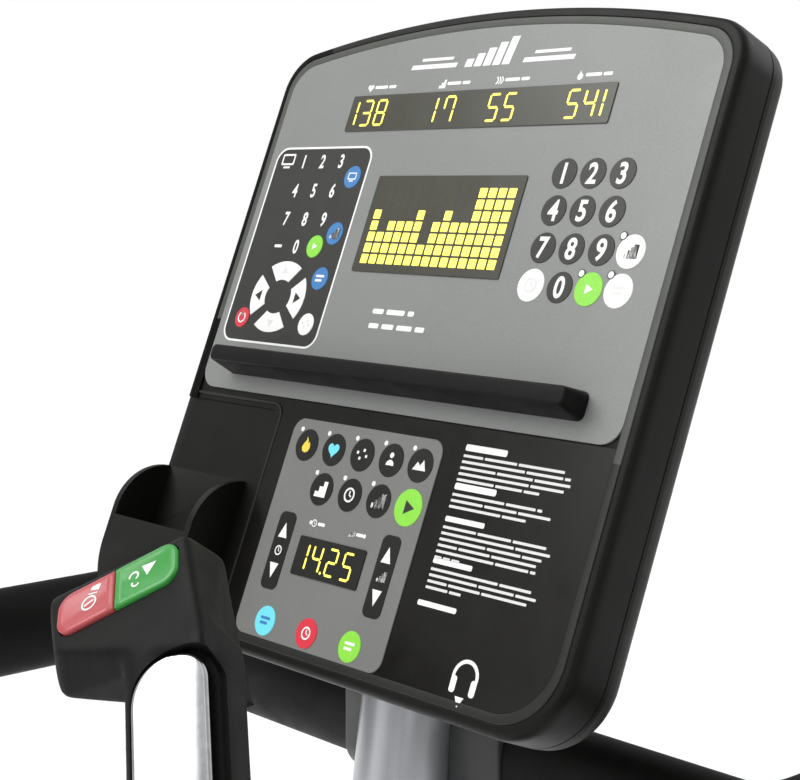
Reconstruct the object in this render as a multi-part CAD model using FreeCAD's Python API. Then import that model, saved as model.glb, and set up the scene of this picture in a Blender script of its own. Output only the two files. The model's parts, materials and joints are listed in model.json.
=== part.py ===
import FreeCAD, Part
import math
import os

from FreeCAD import Vector as V

# Pedal stair climber for a gym: a base with a covered drive, two sprung pedal levers held level by
# parallel links, a raked mast, a wrap-around handrail with two hand grips, and a tilted console.
# +X is the user's right, +Y points forward (away from the user), +Z is up. The floor is z = 0 and
# the origin is the middle of the footprint.

# ---------------------------------------------------------------- driving dimensions (mm)
HALF_LENGTH = 635.0          # footprint is 1270 long
REAR_BEAM_HALF = 340.0
FRONT_BEAM_HALF = 300.0
BEAM_LOW, BEAM_HIGH = 25.0, 75.0
BEAM_DEPTH = 70.0
TUBE_WALL = 3.0
FEET = ((310, -600), (240, 600))    # right-hand feet; the left ones mirror them
FOOT_STEM_R = 7.0
RAIL_INNER, RAIL_OUTER = 100.0, 160.0
PLATE_INNER, PLATE_OUTER = 150.0, 158.0
FIT = 0.05                   # radial clearance of a running fit
GAP = 0.3                    # clearance between separate pieces

MAST_R, MAST_WALL = 33.5, 3.0
MAST_POINT = V(0, 421, 1198)
MAST_RAKE = 8.34             # degrees, the top leans forward
MAST_BOTTOM, MAST_TOP = 86.0, 1292.0

CONSOLE_ORIGIN = V(0, 330, 1258)   # middle of the console face's lower edge
CONSOLE_TILT = 22.35               # degrees from vertical
FACE_HALF = 218.5
FACE_TOP = 469.0
FACE_ARC_R = 957.0
TOP_CORNER_R, BOTTOM_CORNER_R = 32.0, 48.0
WALL_BACK = -34.0            # depth of the front housing's rear edge
COVER_BACK = -50.0
RING = 13.5                  # width of the bevelled ring round the face
TRIM = 7.3                   # width of the side trims
TRIM_FROM = 175.0            # the side trims wrap in to this half-width
OVERLAY_SPLIT = 178.0        # height of the join between the grey and the glossy panel
RECESS_RIGHT, RECESS_TOP, RECESS_FLOOR = -106.0, 169.0, -7.0

HANDRAIL_Z = 1221.0          # height of the side rails
CROSSBAR_Z = 1189.5          # the crossbar runs lower, behind the mast
RAIL_SETBACK = 36.0          # the crossbar's distance behind the mast's axis
RISE_FROM = 262.0            # the rail climbs from here to the bends
HANDRAIL_X = 347.0
HANDRAIL_WIDE, HANDRAIL_TALL, HANDRAIL_WALL = 44.0, 70.0, 3.0
HANDRAIL_BEND = 45.0
HANDRAIL_END = -60.0
GRIP_FOOT = V(356, -2, 1219)
GRIP_TOP = V(252, 65, 1376)
GRIP_FRONT = V(0.325, -0.773, 0.544)
PAD_CENTRE = V(213, 57, 1397)
PAD_ALONG = V(0.718, 0.507, 0.477)
PAD_NORMAL = V(0.020, -0.700, 0.715)
# corners of the grip's head round the pad, inner end first, and the matching corners behind
HEAD_FRONT = (V(175, 45, 1386), V(230, 80, 1419), V(284, 51, 1388), V(202, 32, 1372))
HEAD_BACK = (V(169, 55, 1378), V(222, 112, 1400), V(256, 94, 1354), V(196, 42, 1344))
BUTTON_TRAVEL = 1.2

PIVOT_Y, PIVOT_Z = 230.0, 345.0
LINK_DROP = 90.0             # the link pivots sit this far under the lever pivots
LEVER_LENGTH = 540.0
LEVER_REST = 12.0            # degrees above level at rest
LEVER_TRAVEL = 28.0
LEVER_X = 115.0
LEVER_HALF_WIDE, LEVER_HALF_HIGH = 20.0, 25.0
LINK_HALF_WIDE, LINK_HALF_HIGH = 12.0, 16.0
PIVOT_R, LINK_PIVOT_R, PIN_R = 12.5, 10.0, 8.0
SECTOR_R, DRUM_R = 110.0, 27.5
STRAP_X0, STRAP_X1 = 62.0, 74.0

SHAFT_Y, SHAFT_Z, SHAFT_R = 470.0, 470.0, 9.95
PULLEY_R, PULLEY_HALF = 100.0, 9.0
BEARING_R = 21.0
ROTOR_Y, ROTOR_Z, ROTOR_R = 480.0, 190.0, 22.0

SHROUD_HALF, SHROUD_WALL = 185.0, 3.0

X, Y, Z = V(1, 0, 0), V(0, 1, 0), V(0, 0, 1)
MAST_DIR = V(0, math.sin(math.radians(MAST_RAKE)), math.cos(math.radians(MAST_RAKE)))


# ---------------------------------------------------------------- helpers
def box(x0, x1, y0, y1, z0, z1):
    return Part.makeBox(x1 - x0, y1 - y0, z1 - z0, V(x0, y0, z0))


def rod(x0, x1, y, z, radius):
    """A cylinder along X."""
    return Part.makeCylinder(radius, x1 - x0, V(x0, y, z), X)


def ring(x0, x1, y, z, outer, inner):
    return rod(x0, x1, y, z, outer).cut(rod(x0 - 1, x1 + 1, y, z, inner))


def prism_x(points, x0, x1):
    """A polygon of (y, z) points, extruded along X."""
    corners = [V(x0, y, z) for y, z in points]
    return Part.Face(Part.makePolygon(corners + corners[:1])).extrude(V(x1 - x0, 0, 0))


def fuse(shapes):
    return shapes[0].multiFuse(shapes[1:]).removeSplitter()


def mirrored(shape):
    return shape.mirror(V(0, 0, 0), X)


def both_sides(shape):
    return [shape, mirrored(shape)]


def group(shapes):
    return Part.makeCompound(shapes)


def fillet(shape, radius, chosen):
    """Rounds the edges for which chosen(edge) is true."""
    return shape.makeFillet(radius, [edge for edge in shape.Edges if chosen(edge)])


def is_along(edge, direction):
    if not isinstance(edge.Curve, Part.Line):
        return False
    return edge.Curve.Direction.cross(direction).Length < 1e-6


def mast_at(height):
    """The point of the mast's axis at this height."""
    return MAST_POINT + MAST_DIR * ((height - MAST_POINT.z) / MAST_DIR.z)


def mast_rod(radius, low, high):
    start = mast_at(low)
    return Part.makeCylinder(radius, (mast_at(high) - start).Length, start, MAST_DIR)


def lever_end(angle):
    """The lever's rear pin when the lever stands this many degrees above level."""
    turn = math.radians(angle)
    return V(0, PIVOT_Y - LEVER_LENGTH * math.cos(turn), PIVOT_Z + LEVER_LENGTH * math.sin(turn))


# ---------------------------------------------------------------- base
def base_rails():
    rail = box(RAIL_INNER, RAIL_OUTER, -HALF_LENGTH + BEAM_DEPTH, HALF_LENGTH - BEAM_DEPTH,
               BEAM_LOW, BEAM_HIGH)
    rail = fillet(rail, 6, lambda e: is_along(e, Y))
    hollow = box(RAIL_INNER + TUBE_WALL, RAIL_OUTER - TUBE_WALL, -HALF_LENGTH, HALF_LENGTH,
                 BEAM_LOW + TUBE_WALL, BEAM_HIGH - TUBE_WALL)
    return group(both_sides(rail.cut(hollow)))


def foot_beam(half, y0, y1):
    """A closed tube across the machine, with a threaded hole underneath for each foot."""
    beam = fillet(box(-half, half, y0, y1, BEAM_LOW, BEAM_HIGH), 6, lambda e: is_along(e, X))
    beam = beam.cut(box(-half + 8, half - 8, y0 + TUBE_WALL, y1 - TUBE_WALL,
                        BEAM_LOW + TUBE_WALL, BEAM_HIGH - TUBE_WALL))
    for x, y in FEET:
        if y0 < y < y1:
            for side in (-1, 1):
                beam = beam.cut(Part.makeCylinder(FOOT_STEM_R + GAP, 10, V(side * x, y, 20), Z))
    return beam


def cross_members():
    rear = foot_beam(REAR_BEAM_HALF, -HALF_LENGTH, -HALF_LENGTH + BEAM_DEPTH)
    front = foot_beam(FRONT_BEAM_HALF, HALF_LENGTH - BEAM_DEPTH, HALF_LENGTH)
    foot = mast_at(MAST_BOTTOM)
    mast_beam = box(-RAIL_INNER, RAIL_INNER, foot.y - 45, foot.y + 45, BEAM_LOW, MAST_BOTTOM)
    socket = mast_rod(MAST_R + 9, 70, 195).cut(mast_rod(MAST_R + GAP / 2, 60, 210))
    socket = socket.cut(box(-90, 90, 150, 400, 0, MAST_BOTTOM))
    generator_beam = box(25, RAIL_INNER, 440, 520, BEAM_LOW, 118)
    return group([rear, front, fuse([mast_beam, socket]), generator_beam])


def drive_plates():
    outline = [(104, 75), (104, 440), (180, 470), (400, 550), (530, 550), (585, 420), (585, 75)]
    plate = prism_x(outline, PLATE_INNER, PLATE_OUTER)
    window = prism_x([(300, 110), (300, 330), (400, 400), (440, 400), (440, 110)],
                     PLATE_INNER - 1, PLATE_OUTER + 1)
    plate = plate.cut(fillet(window, 18, lambda e: is_along(e, X)))
    plate = plate.cut(rod(140, 170, PIVOT_Y, PIVOT_Z, PIVOT_R + FIT))
    plate = plate.cut(rod(140, 170, PIVOT_Y, PIVOT_Z - LINK_DROP, LINK_PIVOT_R + FIT))
    plate = plate.cut(rod(140, 170, SHAFT_Y, SHAFT_Z, BEARING_R + FIT))
    # a short bar inside each plate carries the upper bumper
    stop_bar = top_bumper_place(box(98, PLATE_INNER, -18, 18, 20.5, 28.5))
    return group(both_sides(plate) + both_sides(stop_bar))


def top_bumper_place(shape):
    """From a frame on the lever's upper face, 110 mm behind the pivot, to the machine's frame."""
    turn = math.radians(LEVER_REST)
    along = V(0, -math.cos(turn), math.sin(turn))
    normal = V(0, math.sin(turn), math.cos(turn))
    spot = V(0, PIVOT_Y, PIVOT_Z) + along * 110 + normal * (LEVER_HALF_HIGH + GAP)
    placed = shape.copy()
    placed.rotate(V(0, 0, 0), X, -LEVER_REST)
    placed.translate(spot)
    return placed


BUMPER_Y = -150.0


def bumpers():
    upper = top_bumper_place(Part.makeCylinder(14, 20, V(LEVER_X, 0, 0), Z))
    # at the lower stop the link's underside comes to rest on the lower bumper
    turn = math.radians(LEVER_TRAVEL - LEVER_REST)
    along = PIVOT_Y - (BUMPER_Y - 16)
    touch = PIVOT_Z - LINK_DROP - along * math.tan(turn) - LINK_HALF_HIGH / math.cos(turn)
    lower = Part.makeCylinder(16, touch - GAP - BEAM_HIGH, V(LEVER_X, BUMPER_Y, BEAM_HIGH), Z)
    lower = lower.makeChamfer(3, [lower.Edges[0]])
    return group(both_sides(upper) + both_sides(lower))


def leveling_feet():
    feet = []
    for x, y in FEET:
        pad = Part.makeCylinder(24, 10, V(x, y, 0), Z)
        pad = pad.makeFillet(3, [pad.Edges[0]])
        nut = Part.makeCylinder(12, 5, V(x, y, 10), Z)
        stem = Part.makeCylinder(FOOT_STEM_R, 27, V(x, y, 15), Z)
        feet += both_sides(fuse([pad, nut, stem]))
    return group(feet)


WHEEL_Y, WHEEL_Z, WHEEL_R = 600.0, 42.0, 34.0
AXLE_R = 6.0


def transport_wheel():
    wheel = ring(303, 325, WHEEL_Y, WHEEL_Z, WHEEL_R, AXLE_R + FIT)
    wheel = fillet(wheel, 4, lambda e: isinstance(e.Curve, Part.Circle) and e.Curve.Radius > 30)
    return wheel.cut(ring(318, 326, WHEEL_Y, WHEEL_Z, 25, 12))


def wheel_axles():
    axle = rod(FRONT_BEAM_HALF, 328, WHEEL_Y, WHEEL_Z, AXLE_R)
    head = rod(326, 333, WHEEL_Y, WHEEL_Z, 10)
    return group(both_sides(fuse([axle, head])))


# ---------------------------------------------------------------- mast, shroud
def mast():
    tube = mast_rod(MAST_R, MAST_BOTTOM - 10, MAST_TOP).cut(
        mast_rod(MAST_R - MAST_WALL, MAST_BOTTOM - 20, MAST_TOP + 10))
    return tube.cut(box(-90, 90, 150, 400, 0, MAST_BOTTOM + 0.1))


def shroud_profile():
    return [(92, 77), (92, 430), (175, 575), (300, 634), (470, 618), (585, 520), (612, 380),
            (612, 77)]


def shroud():
    outline = prism_x(shroud_profile(), 0, 1).Faces
    side = min(outline, key=lambda f: f.CenterOfMass.x)
    outer = side.extrude(V(SHROUD_HALF, 0, 0))
    inner = Part.Face(side.OuterWire.makeOffset2D(-SHROUD_WALL)).extrude(
        V(SHROUD_HALF - SHROUD_WALL, 0, 0))
    upright = [e for e in outer.Edges if is_along(e, X) and e.CenterOfMass.z > 200]
    outer = outer.makeFillet(30, upright)
    rim = [e for e in outer.Edges
           if e.BoundBox.XMin > SHROUD_HALF - 1 and not (is_along(e, Y) and e.CenterOfMass.z < 100)]
    outer = outer.makeFillet(22, rim)
    upright = [e for e in inner.Edges if is_along(e, X) and e.CenterOfMass.z > 200]
    inner = inner.makeFillet(27, upright)
    rim = [e for e in inner.Edges if e.BoundBox.XMin > SHROUD_HALF - SHROUD_WALL - 1
           and not (is_along(e, Y) and e.CenterOfMass.z < 100)]
    inner = inner.makeFillet(19, rim)
    shell = outer.cut(inner).cut(box(-1, 200, 0, 700, 0, 77 + SHROUD_WALL))
    shell = shell.cut(box(-1, GAP / 2, 0, 700, 0, 700))
    shell = shell.cut(box(LEVER_X - 29, LEVER_X + 29, 60, 120, 180, 418))
    return shell.cut(mast_rod(MAST_R + 6, 500, 700))


def mast_boot():
    boot = mast_rod(MAST_R + 16, 600, 662)
    boot = boot.cut(mast_rod(MAST_R + 0.1, 590, 690))
    above = box(-80, 80, 200, 500, 590, 700).cut(prism_x(shroud_profile(), -90, 90))
    return boot.common(above)


# ---------------------------------------------------------------- handrail
def oval(wide, tall):
    """An upright oval face in the YZ plane, centred on the origin."""
    r = wide / 2
    h = tall / 2 - r
    edges = [Part.makeLine(V(0, r, -h), V(0, r, h)),
             Part.Arc(V(0, r, h), V(0, 0, h + r), V(0, -r, h)).toShape(),
             Part.makeLine(V(0, -r, h), V(0, -r, -h)),
             Part.Arc(V(0, -r, -h), V(0, 0, -h - r), V(0, r, -h)).toShape()]
    return Part.Face(Part.Wire(edges))


def rail_sweep(wide, tall, start):
    """The right half of the rail: out along X from x = start, up to the bend, round it and back."""
    y0 = mast_at(CROSSBAR_Z).y + RAIL_SETBACK
    bend_x, bend_y = HANDRAIL_X - HANDRAIL_BEND, y0 - HANDRAIL_BEND
    section = oval(wide, tall)
    section.translate(V(start, y0, CROSSBAR_Z))
    runs = []
    for step in (V(RISE_FROM - start, 0, 0), V(bend_x - RISE_FROM, 0, HANDRAIL_Z - CROSSBAR_Z)):
        runs.append(section.extrude(step))
        section.translate(step)
    runs.append(section.revolve(V(bend_x, bend_y, HANDRAIL_Z), Z, -90))
    section.rotate(V(bend_x, bend_y, HANDRAIL_Z), Z, -90)
    runs.append(section.extrude(V(0, HANDRAIL_END - bend_y, 0)))
    return fuse(runs)


def handrail():
    bore_wide = HANDRAIL_WIDE - 2 * HANDRAIL_WALL
    bore_tall = HANDRAIL_TALL - 2 * HANDRAIL_WALL
    return rail_sweep(HANDRAIL_WIDE, HANDRAIL_TALL, 39).cut(rail_sweep(bore_wide, bore_tall, 39))


def rail_end_caps():
    plate = oval(HANDRAIL_WIDE, HANDRAIL_TALL)
    plate.rotate(V(0, 0, 0), Z, 90)
    plate.translate(V(HANDRAIL_X, HANDRAIL_END, HANDRAIL_Z))
    cap = plate.extrude(V(0, -8, 0))
    cap = cap.makeFillet(5, [e for e in cap.Edges if e.BoundBox.YMax < HANDRAIL_END - 7])
    return group(both_sides(cap))


def rail_bracket():
    """A sleeve over the ends of the two half rails, hollowed in front to hold the mast's back."""
    y0 = mast_at(CROSSBAR_Z).y + RAIL_SETBACK
    block = box(-78, 78, y0 - HANDRAIL_WIDE / 2 - 3, y0 + 30, CROSSBAR_Z - 39, CROSSBAR_Z + 39)
    block = fillet(block, 6, lambda e: is_along(e, X))
    block = block.cut(mast_rod(MAST_R + 0.1, CROSSBAR_Z - 80, CROSSBAR_Z + 80))
    socket = oval(HANDRAIL_WIDE + 0.2, HANDRAIL_TALL + 0.2)
    socket.translate(V(38.8, y0, CROSSBAR_Z))
    socket = socket.extrude(V(60, 0, 0))
    return block.cut(socket).cut(mirrored(socket))


# ---------------------------------------------------------------- hand grips
def oriented(shape, origin, x_axis, z_axis):
    """Moves a shape so that its own Z lies along z_axis and its X nearest to x_axis."""
    z_dir = V(z_axis).normalize()
    y_dir = z_dir.cross(x_axis).normalize()
    x_dir = y_dir.cross(z_dir)
    matrix = FreeCAD.Matrix(x_dir.x, y_dir.x, z_dir.x, origin.x,
                            x_dir.y, y_dir.y, z_dir.y, origin.y,
                            x_dir.z, y_dir.z, z_dir.z, origin.z, 0, 0, 0, 1)
    placed = shape.copy()
    placed.Placement = FreeCAD.Placement(matrix)
    return placed


GRIP_DIR = (GRIP_TOP - GRIP_FOOT).normalize()
GRIP_LENGTH = (GRIP_TOP - GRIP_FOOT).Length
GRIP_WIDE, GRIP_DEEP, GRIP_CORNER = 50.0, 40.0, 14.0
SENSOR_WIDE, SENSOR_THICK, SENSOR_PROUD, SENSOR_LOW = 35.0, 2.4, 1.2, 60.0
SENSOR_HIGH = GRIP_LENGTH - 10
BUTTON_WIDE = 24.0
BUTTON_SPLIT = -1.0
BUTTON_ENDS = (-32.0, 32.0)
HEAD_EDGE = 4.0              # rounding of the head's front rim


def in_grip(shape):
    """From the grip's frame (X to its front, Z up its axis) to the machine's frame."""
    return oriented(shape, GRIP_FOOT, GRIP_FRONT, GRIP_DIR)


def in_pad(shape):
    """From the pad's frame (X along the pad, Z out of it) to the machine's frame."""
    return oriented(shape, PAD_CENTRE, PAD_ALONG, PAD_NORMAL)


def grip_post(margin, low, high):
    """The post's rounded section, grown by margin."""
    deep, wide = GRIP_DEEP / 2 + margin, GRIP_WIDE / 2 + margin
    block = box(-deep, deep, -wide, wide, low, high)
    return fillet(block, GRIP_CORNER + margin, lambda e: is_along(e, Z))


def sensor(margin):
    """A curved plate with an arched top, let into the front of the post."""
    half = SENSOR_WIDE / 2 + margin
    low, high = SENSOR_LOW - margin, SENSOR_HIGH + margin
    arch = box(0, GRIP_DEEP, -half, half, low, high)
    arch = fillet(arch, half - 1, lambda e: is_along(e, X) and e.CenterOfMass.z > high - 1)
    skin = grip_post(SENSOR_PROUD + margin, low - 5, high + 5).cut(
        grip_post(SENSOR_PROUD - SENSOR_THICK - margin, low - 6, high + 6))
    return skin.common(arch)


def button(low, high, margin):
    half = BUTTON_WIDE / 2 + margin
    cap = box(low - margin, high + margin, -half, half, -5 - margin, 2.0)
    ends = [e for e in cap.Edges if is_along(e, Z)
            and abs(e.CenterOfMass.x) > abs(BUTTON_SPLIT) + 5]
    return cap.makeFillet(8, ends)


def flat_outline(points, origin, normal):
    """A closed outline through points that are first dropped on to a plane."""
    normal = V(normal).normalize()
    flat = [p - normal * (p - origin).dot(normal) for p in points]
    return Part.makePolygon(flat + flat[:1])


def grip_head():
    """The block round the pad: its front lies in the pad's plane and it narrows to the inner end."""
    first, second, third, last = HEAD_BACK
    back_normal = (second - first).cross(third - second)
    head = Part.makeLoft([flat_outline(HEAD_FRONT, PAD_CENTRE, PAD_NORMAL),
                          flat_outline(HEAD_BACK, second, back_normal)], True, True)
    front = [e for e in head.Edges if all(abs((v.Point - PAD_CENTRE).dot(PAD_NORMAL)) < 0.5
                                          for v in e.Vertexes)]
    return head.makeFillet(HEAD_EDGE, front)


def hand_grip():
    post = grip_post(0, 0, GRIP_LENGTH + 6)
    post = fillet(post, 10, lambda e: e.BoundBox.ZMin > GRIP_LENGTH + 5)
    body = in_grip(post).fuse(grip_head()).cut(in_grip(sensor(0.6)))
    for low, high in ((BUTTON_ENDS[0], BUTTON_SPLIT), (BUTTON_SPLIT, BUTTON_ENDS[1])):
        pocket = box(low - GAP, high + GAP, -BUTTON_WIDE / 2 - GAP, BUTTON_WIDE / 2 + GAP,
                     -5 - BUTTON_TRAVEL - 1, 3)
        ends = [e for e in pocket.Edges if is_along(e, Z)
                and abs(e.CenterOfMass.x) > abs(BUTTON_SPLIT) + 5]
        body = body.cut(in_pad(pocket.makeFillet(8, ends)))
    # the foot sits on the rail and ends flush with its outer side
    body = body.cut(rail_sweep(HANDRAIL_WIDE + 0.1, HANDRAIL_TALL + 0.1, 39))
    outside = HANDRAIL_X + HANDRAIL_WIDE / 2
    body = body.cut(box(outside, outside + 60, -100, 100, 1150, 1500))
    return max(body.Solids, key=lambda s: s.Volume)


def sensor_plate():
    return in_grip(sensor(0))


def level_button():
    return in_pad(button(BUTTON_SPLIT + 0.2, BUTTON_ENDS[1], 0))


def stop_button():
    return in_pad(button(BUTTON_ENDS[0], BUTTON_SPLIT - 0.2, 0))


# ---------------------------------------------------------------- console, in its own frame
# X runs across the face, Y up along it and Z out of it towards the user.
def in_console(shape):
    placed = shape.copy()
    placed.rotate(V(0, 0, 0), X, 90 - CONSOLE_TILT)
    placed.translate(CONSOLE_ORIGIN)
    return placed


def console_block(inset, low, high):
    """The console's rounded outline, drawn in by inset, between two depths."""
    half = FACE_HALF - inset
    radius = FACE_ARC_R - inset
    centre = FACE_TOP - FACE_ARC_R
    side_top = centre + math.sqrt(radius ** 2 - half ** 2)
    edges = [Part.makeLine(V(-half, inset, low), V(half, inset, low)),
             Part.makeLine(V(half, inset, low), V(half, side_top, low)),
             Part.Arc(V(half, side_top, low), V(0, FACE_TOP - inset, low),
                      V(-half, side_top, low)).toShape(),
             Part.makeLine(V(-half, side_top, low), V(-half, inset, low))]
    block = Part.Face(Part.Wire(edges)).extrude(V(0, 0, high - low))
    upright = [e for e in block.Edges if is_along(e, Z)]
    top = [e for e in upright if e.CenterOfMass.y > 200]
    bottom = [e for e in upright if e.CenterOfMass.y < 200]
    block = block.makeFillet(TOP_CORNER_R - inset * 0.6, top)
    bottom = [e for e in block.Edges if is_along(e, Z) and e.CenterOfMass.y < 200
              and abs(e.CenterOfMass.x) > half - 1 and e.CenterOfMass.y < inset + 1]
    return block.makeFillet(BOTTOM_CORNER_R - inset * 0.6, bottom)


def console_body():
    """The front housing with its side trims still on it."""
    body = console_block(0, WALL_BACK, 0)
    rim = [e for e in body.Edges if e.BoundBox.ZMin > -0.5]
    return body.makeChamfer(5, rim)


def trim_zone(side, margin):
    low = RECESS_TOP + 1 + margin if side < 0 else -5
    band = console_block(-2, WALL_BACK + 4 + margin, 3).cut(
        console_block(TRIM - margin, WALL_BACK, 4))
    x0, x1 = sorted((side * (TRIM_FROM + margin), side * 230))
    return band.common(box(x0, x1, low, 480, -40, 10))


def recess():
    return box(-230, RECESS_RIGHT, -5, RECESS_TOP, RECESS_FLOOR, 10)


def upper_panel_zone(margin):
    """The grey panel's outline above the join."""
    sheet = console_block(RING - margin, -1.5 - margin, 3 * margin)
    zone = box(-230, 230, OVERLAY_SPLIT + 0.4 - margin, 480, -10, 10)
    sheet = sheet.common(zone)
    corners = [e for e in sheet.Edges if is_along(e, Z) and e.CenterOfMass.y < 200]
    return sheet.makeFillet(15, corners)


def lower_panel_zone(margin):
    sheet = console_block(RING - margin, -1.5 - margin, 3 * margin)
    return sheet.common(box(RECESS_RIGHT + 6 - margin, 230, -5, OVERLAY_SPLIT - 0.2 + margin,
                            -10, 10))


def console_housing():
    body = console_body()
    body = body.cut(console_block(12, WALL_BACK - 1, -11))
    for side in (-1, 1):
        body = body.cut(trim_zone(side, 0))
    body = body.cut(recess())
    for zone in (upper_panel_zone(GAP / 2), lower_panel_zone(GAP / 2)):
        body = body.cut(zone)
    floor = box(-FACE_HALF + 14, RECESS_RIGHT, 14, RECESS_TOP - 4, RECESS_FLOOR - 3, RECESS_FLOOR)
    body = body.fuse(floor)
    jack = Part.makeCylinder(JACK_R + FIT, 30, V(JACK_X, -5, JACK_Z), Y)
    return max(body.cut(jack).Solids, key=lambda s: s.Volume)


JACK_X, JACK_Z, JACK_R = 142.0, -20.0, 5.0


def headphone_jack():
    barrel = Part.makeCylinder(JACK_R, 26, V(JACK_X, -0.5, JACK_Z), Y)
    nut = Part.makeCylinder(JACK_R + 2.5, 5, V(JACK_X, 13, JACK_Z), Y)
    socket = Part.makeCylinder(1.8, 16, V(JACK_X, -1, JACK_Z), Y)
    return barrel.fuse(nut).cut(socket)


def console_trim(side):
    return max(console_body().common(trim_zone(side, 0.15)).Solids, key=lambda s: s.Volume)


def key_panel():
    panel = box(-81.4, 68.5, 13.9, 166, 0.05, 0.85)
    return fillet(panel, 10, lambda e: is_along(e, Z))


def display_windows():
    stats = box(-127, 127, 380.7, 408.7, 0.05, 0.9)
    matrix = box(-72.3, 72.3, 274.6, 346, 0.05, 0.9)
    clock = box(-40, 27.5, 60.5, 87.2, 0.95, 1.7)
    return group([fillet(w, 1.5, lambda e: is_along(e, Z)) for w in (stats, matrix, clock)])


SHELF_HALF, SHELF_OUT = 174.0, 22.0


def shelf_outline(low, high, radius, out):
    plate = box(-SHELF_HALF, SHELF_HALF, low, high, out, out + 1)
    plate = fillet(plate, radius, lambda e: is_along(e, Z))
    return min(plate.Faces, key=lambda f: f.CenterOfMass.z).OuterWire


def reading_shelf():
    """A bar that stands out of the face, narrower at its front, with rounded ends."""
    shelf = Part.makeLoft([shelf_outline(190.3, 209, 5, 0.05),
                           shelf_outline(194.5, 206, 4, SHELF_OUT)], True, True)
    return fillet(shelf, 1.5, lambda e: e.BoundBox.ZMin > SHELF_OUT - 0.1)


TRAY_LEFT, TRAY_RIGHT = -218.5, -120.0
TRAY_LIP, TRAY_FRONT = 68.0, 32.0
TRAY_BACK = RECESS_FLOOR + 0.1


def accessory_tray():
    profile = Part.Wire([
        Part.makeLine(V(TRAY_LEFT, 0, TRAY_BACK), V(TRAY_LEFT, 115, TRAY_BACK)),
        Part.Arc(V(TRAY_LEFT, 115, TRAY_BACK), V(TRAY_LEFT, 102, 21),
                 V(TRAY_LEFT, 76, TRAY_FRONT)).toShape(),
        Part.makeLine(V(TRAY_LEFT, 76, TRAY_FRONT), V(TRAY_LEFT, 18, TRAY_FRONT)),
        Part.Arc(V(TRAY_LEFT, 18, TRAY_FRONT), V(TRAY_LEFT, 5.3, 26.7),
                 V(TRAY_LEFT, 0, 14)).toShape(),
        Part.makeLine(V(TRAY_LEFT, 0, 14), V(TRAY_LEFT, 0, TRAY_BACK))])
    tray = Part.Face(profile).extrude(V(TRAY_RIGHT - TRAY_LEFT, 0, 0))
    tray = tray.common(console_block(0, -20, 60))
    pocket = box(TRAY_LEFT + 5.5, TRAY_RIGHT - 6, 6, 200, -2.5, TRAY_FRONT - 4)
    pocket = fillet(pocket, 8, lambda e: is_along(e, Y) and e.CenterOfMass.z > 0)
    corner = console_block(6, -20, 60)
    mouth = box(TRAY_LEFT + 5.5, TRAY_RIGHT - 6, TRAY_LIP, 200, -2.5, 60)
    return tray.cut(pocket.common(corner)).cut(mouth)


def console_back():
    cover = console_block(0.4, COVER_BACK, WALL_BACK - 0.1)
    rim = [e for e in cover.Edges if e.BoundBox.ZMax < COVER_BACK + 0.5]
    cover = cover.makeFillet(12, rim)
    cover = cover.cut(console_block(14, COVER_BACK + 3, WALL_BACK + 1))
    for row in range(7):
        y = 330 + 9 * row
        cover = cover.cut(box(-55, 55, y, y + 4, COVER_BACK - 1, COVER_BACK + 5))
    for x, y in SCREWS:
        cover = cover.cut(Part.makeCylinder(2.2, 30, V(x, y, COVER_BACK - 1), Z))
    for x, y in BRACKET_BOLTS:
        cover = cover.cut(Part.makeCylinder(3.2, 30, V(x, y, COVER_BACK - 1), Z))
    return cover


SCREWS = [(x, y) for x in (-195, 195) for y in (90, 260, 400)] + [(-90, 440), (90, 440)]
BRACKET_BOLTS = [(x, y) for x in (-45, 45) for y in (120, 230)]


def console_screws():
    heads = []
    for x, y in SCREWS:
        heads.append(Part.makeCylinder(4.2, 2.2, V(x, y, COVER_BACK - 2.25), Z))
    for x, y in BRACKET_BOLTS:
        heads.append(Part.makeCylinder(6.5, 4, V(x, y, COVER_BACK - 6.35 - 4), Z))
    return group([in_console(head) for head in heads])


def console_board():
    board = box(-185, 185, 190, 432, -22, -20.4)
    parts = [board, box(-125, 125, 380, 409, -20.5, -13), box(-72, 72, 275, 346, -20.5, -13),
             box(-30, 30, 200, 245, -26, -21.9), box(90, 150, 360, 420, -27, -21.9)]
    lower = box(-85, 75, 30, 189.9, -22, -20.4)
    window = box(-40, 27, 60, 87, -20.5, -13)
    return fuse(parts + [lower, window, box(-40, 40, 180, 200, -22, -20.4)])


def console_bracket():
    plate = box(-60, 60, 96, 255, COVER_BACK - 6.3, COVER_BACK - 0.3)
    plate = fillet(plate, 10, lambda e: is_along(e, Z))
    for x, y in BRACKET_BOLTS:
        plate = plate.cut(Part.makeCylinder(3.3, 20, V(x, y, COVER_BACK - 10), Z))
    plate = in_console(plate)
    disc = mast_rod(MAST_R, MAST_TOP, MAST_TOP + 8)
    plug = mast_rod(MAST_R - MAST_WALL - 0.1, MAST_TOP - 60, MAST_TOP + 4)
    top = mast_at(MAST_TOP + 4)
    face = CONSOLE_ORIGIN + V(0, math.cos(math.radians(90 - CONSOLE_TILT)),
                              math.sin(math.radians(90 - CONSOLE_TILT))) * 235
    rib = [(top.y - 22, top.z), (top.y + 30, top.z), (face.y + 75, face.z - 20),
           (face.y + 52, face.z - 20)]
    ribs = [prism_x(rib, x - 4, x + 4) for x in (-20, 20)]
    back = in_console(box(-230, 230, -50, 500, COVER_BACK - 3, 40))
    return fuse([plate] + [part.cut(back) for part in [disc, plug] + ribs])


# ---------------------------------------------------------------- pedals and levers
def at_lever(shape):
    """From a level lever with its pivot at the origin to the lever at rest."""
    placed = shape.copy()
    placed.rotate(V(0, 0, 0), X, -LEVER_REST)
    placed.translate(V(0, PIVOT_Y, PIVOT_Z))
    return placed


HUB_R, BUSH_R = 28.0, 16.0
EYE_R = 25.0
CLEVIS_IN, CLEVIS_OUT = 20.8, 26.8


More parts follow.
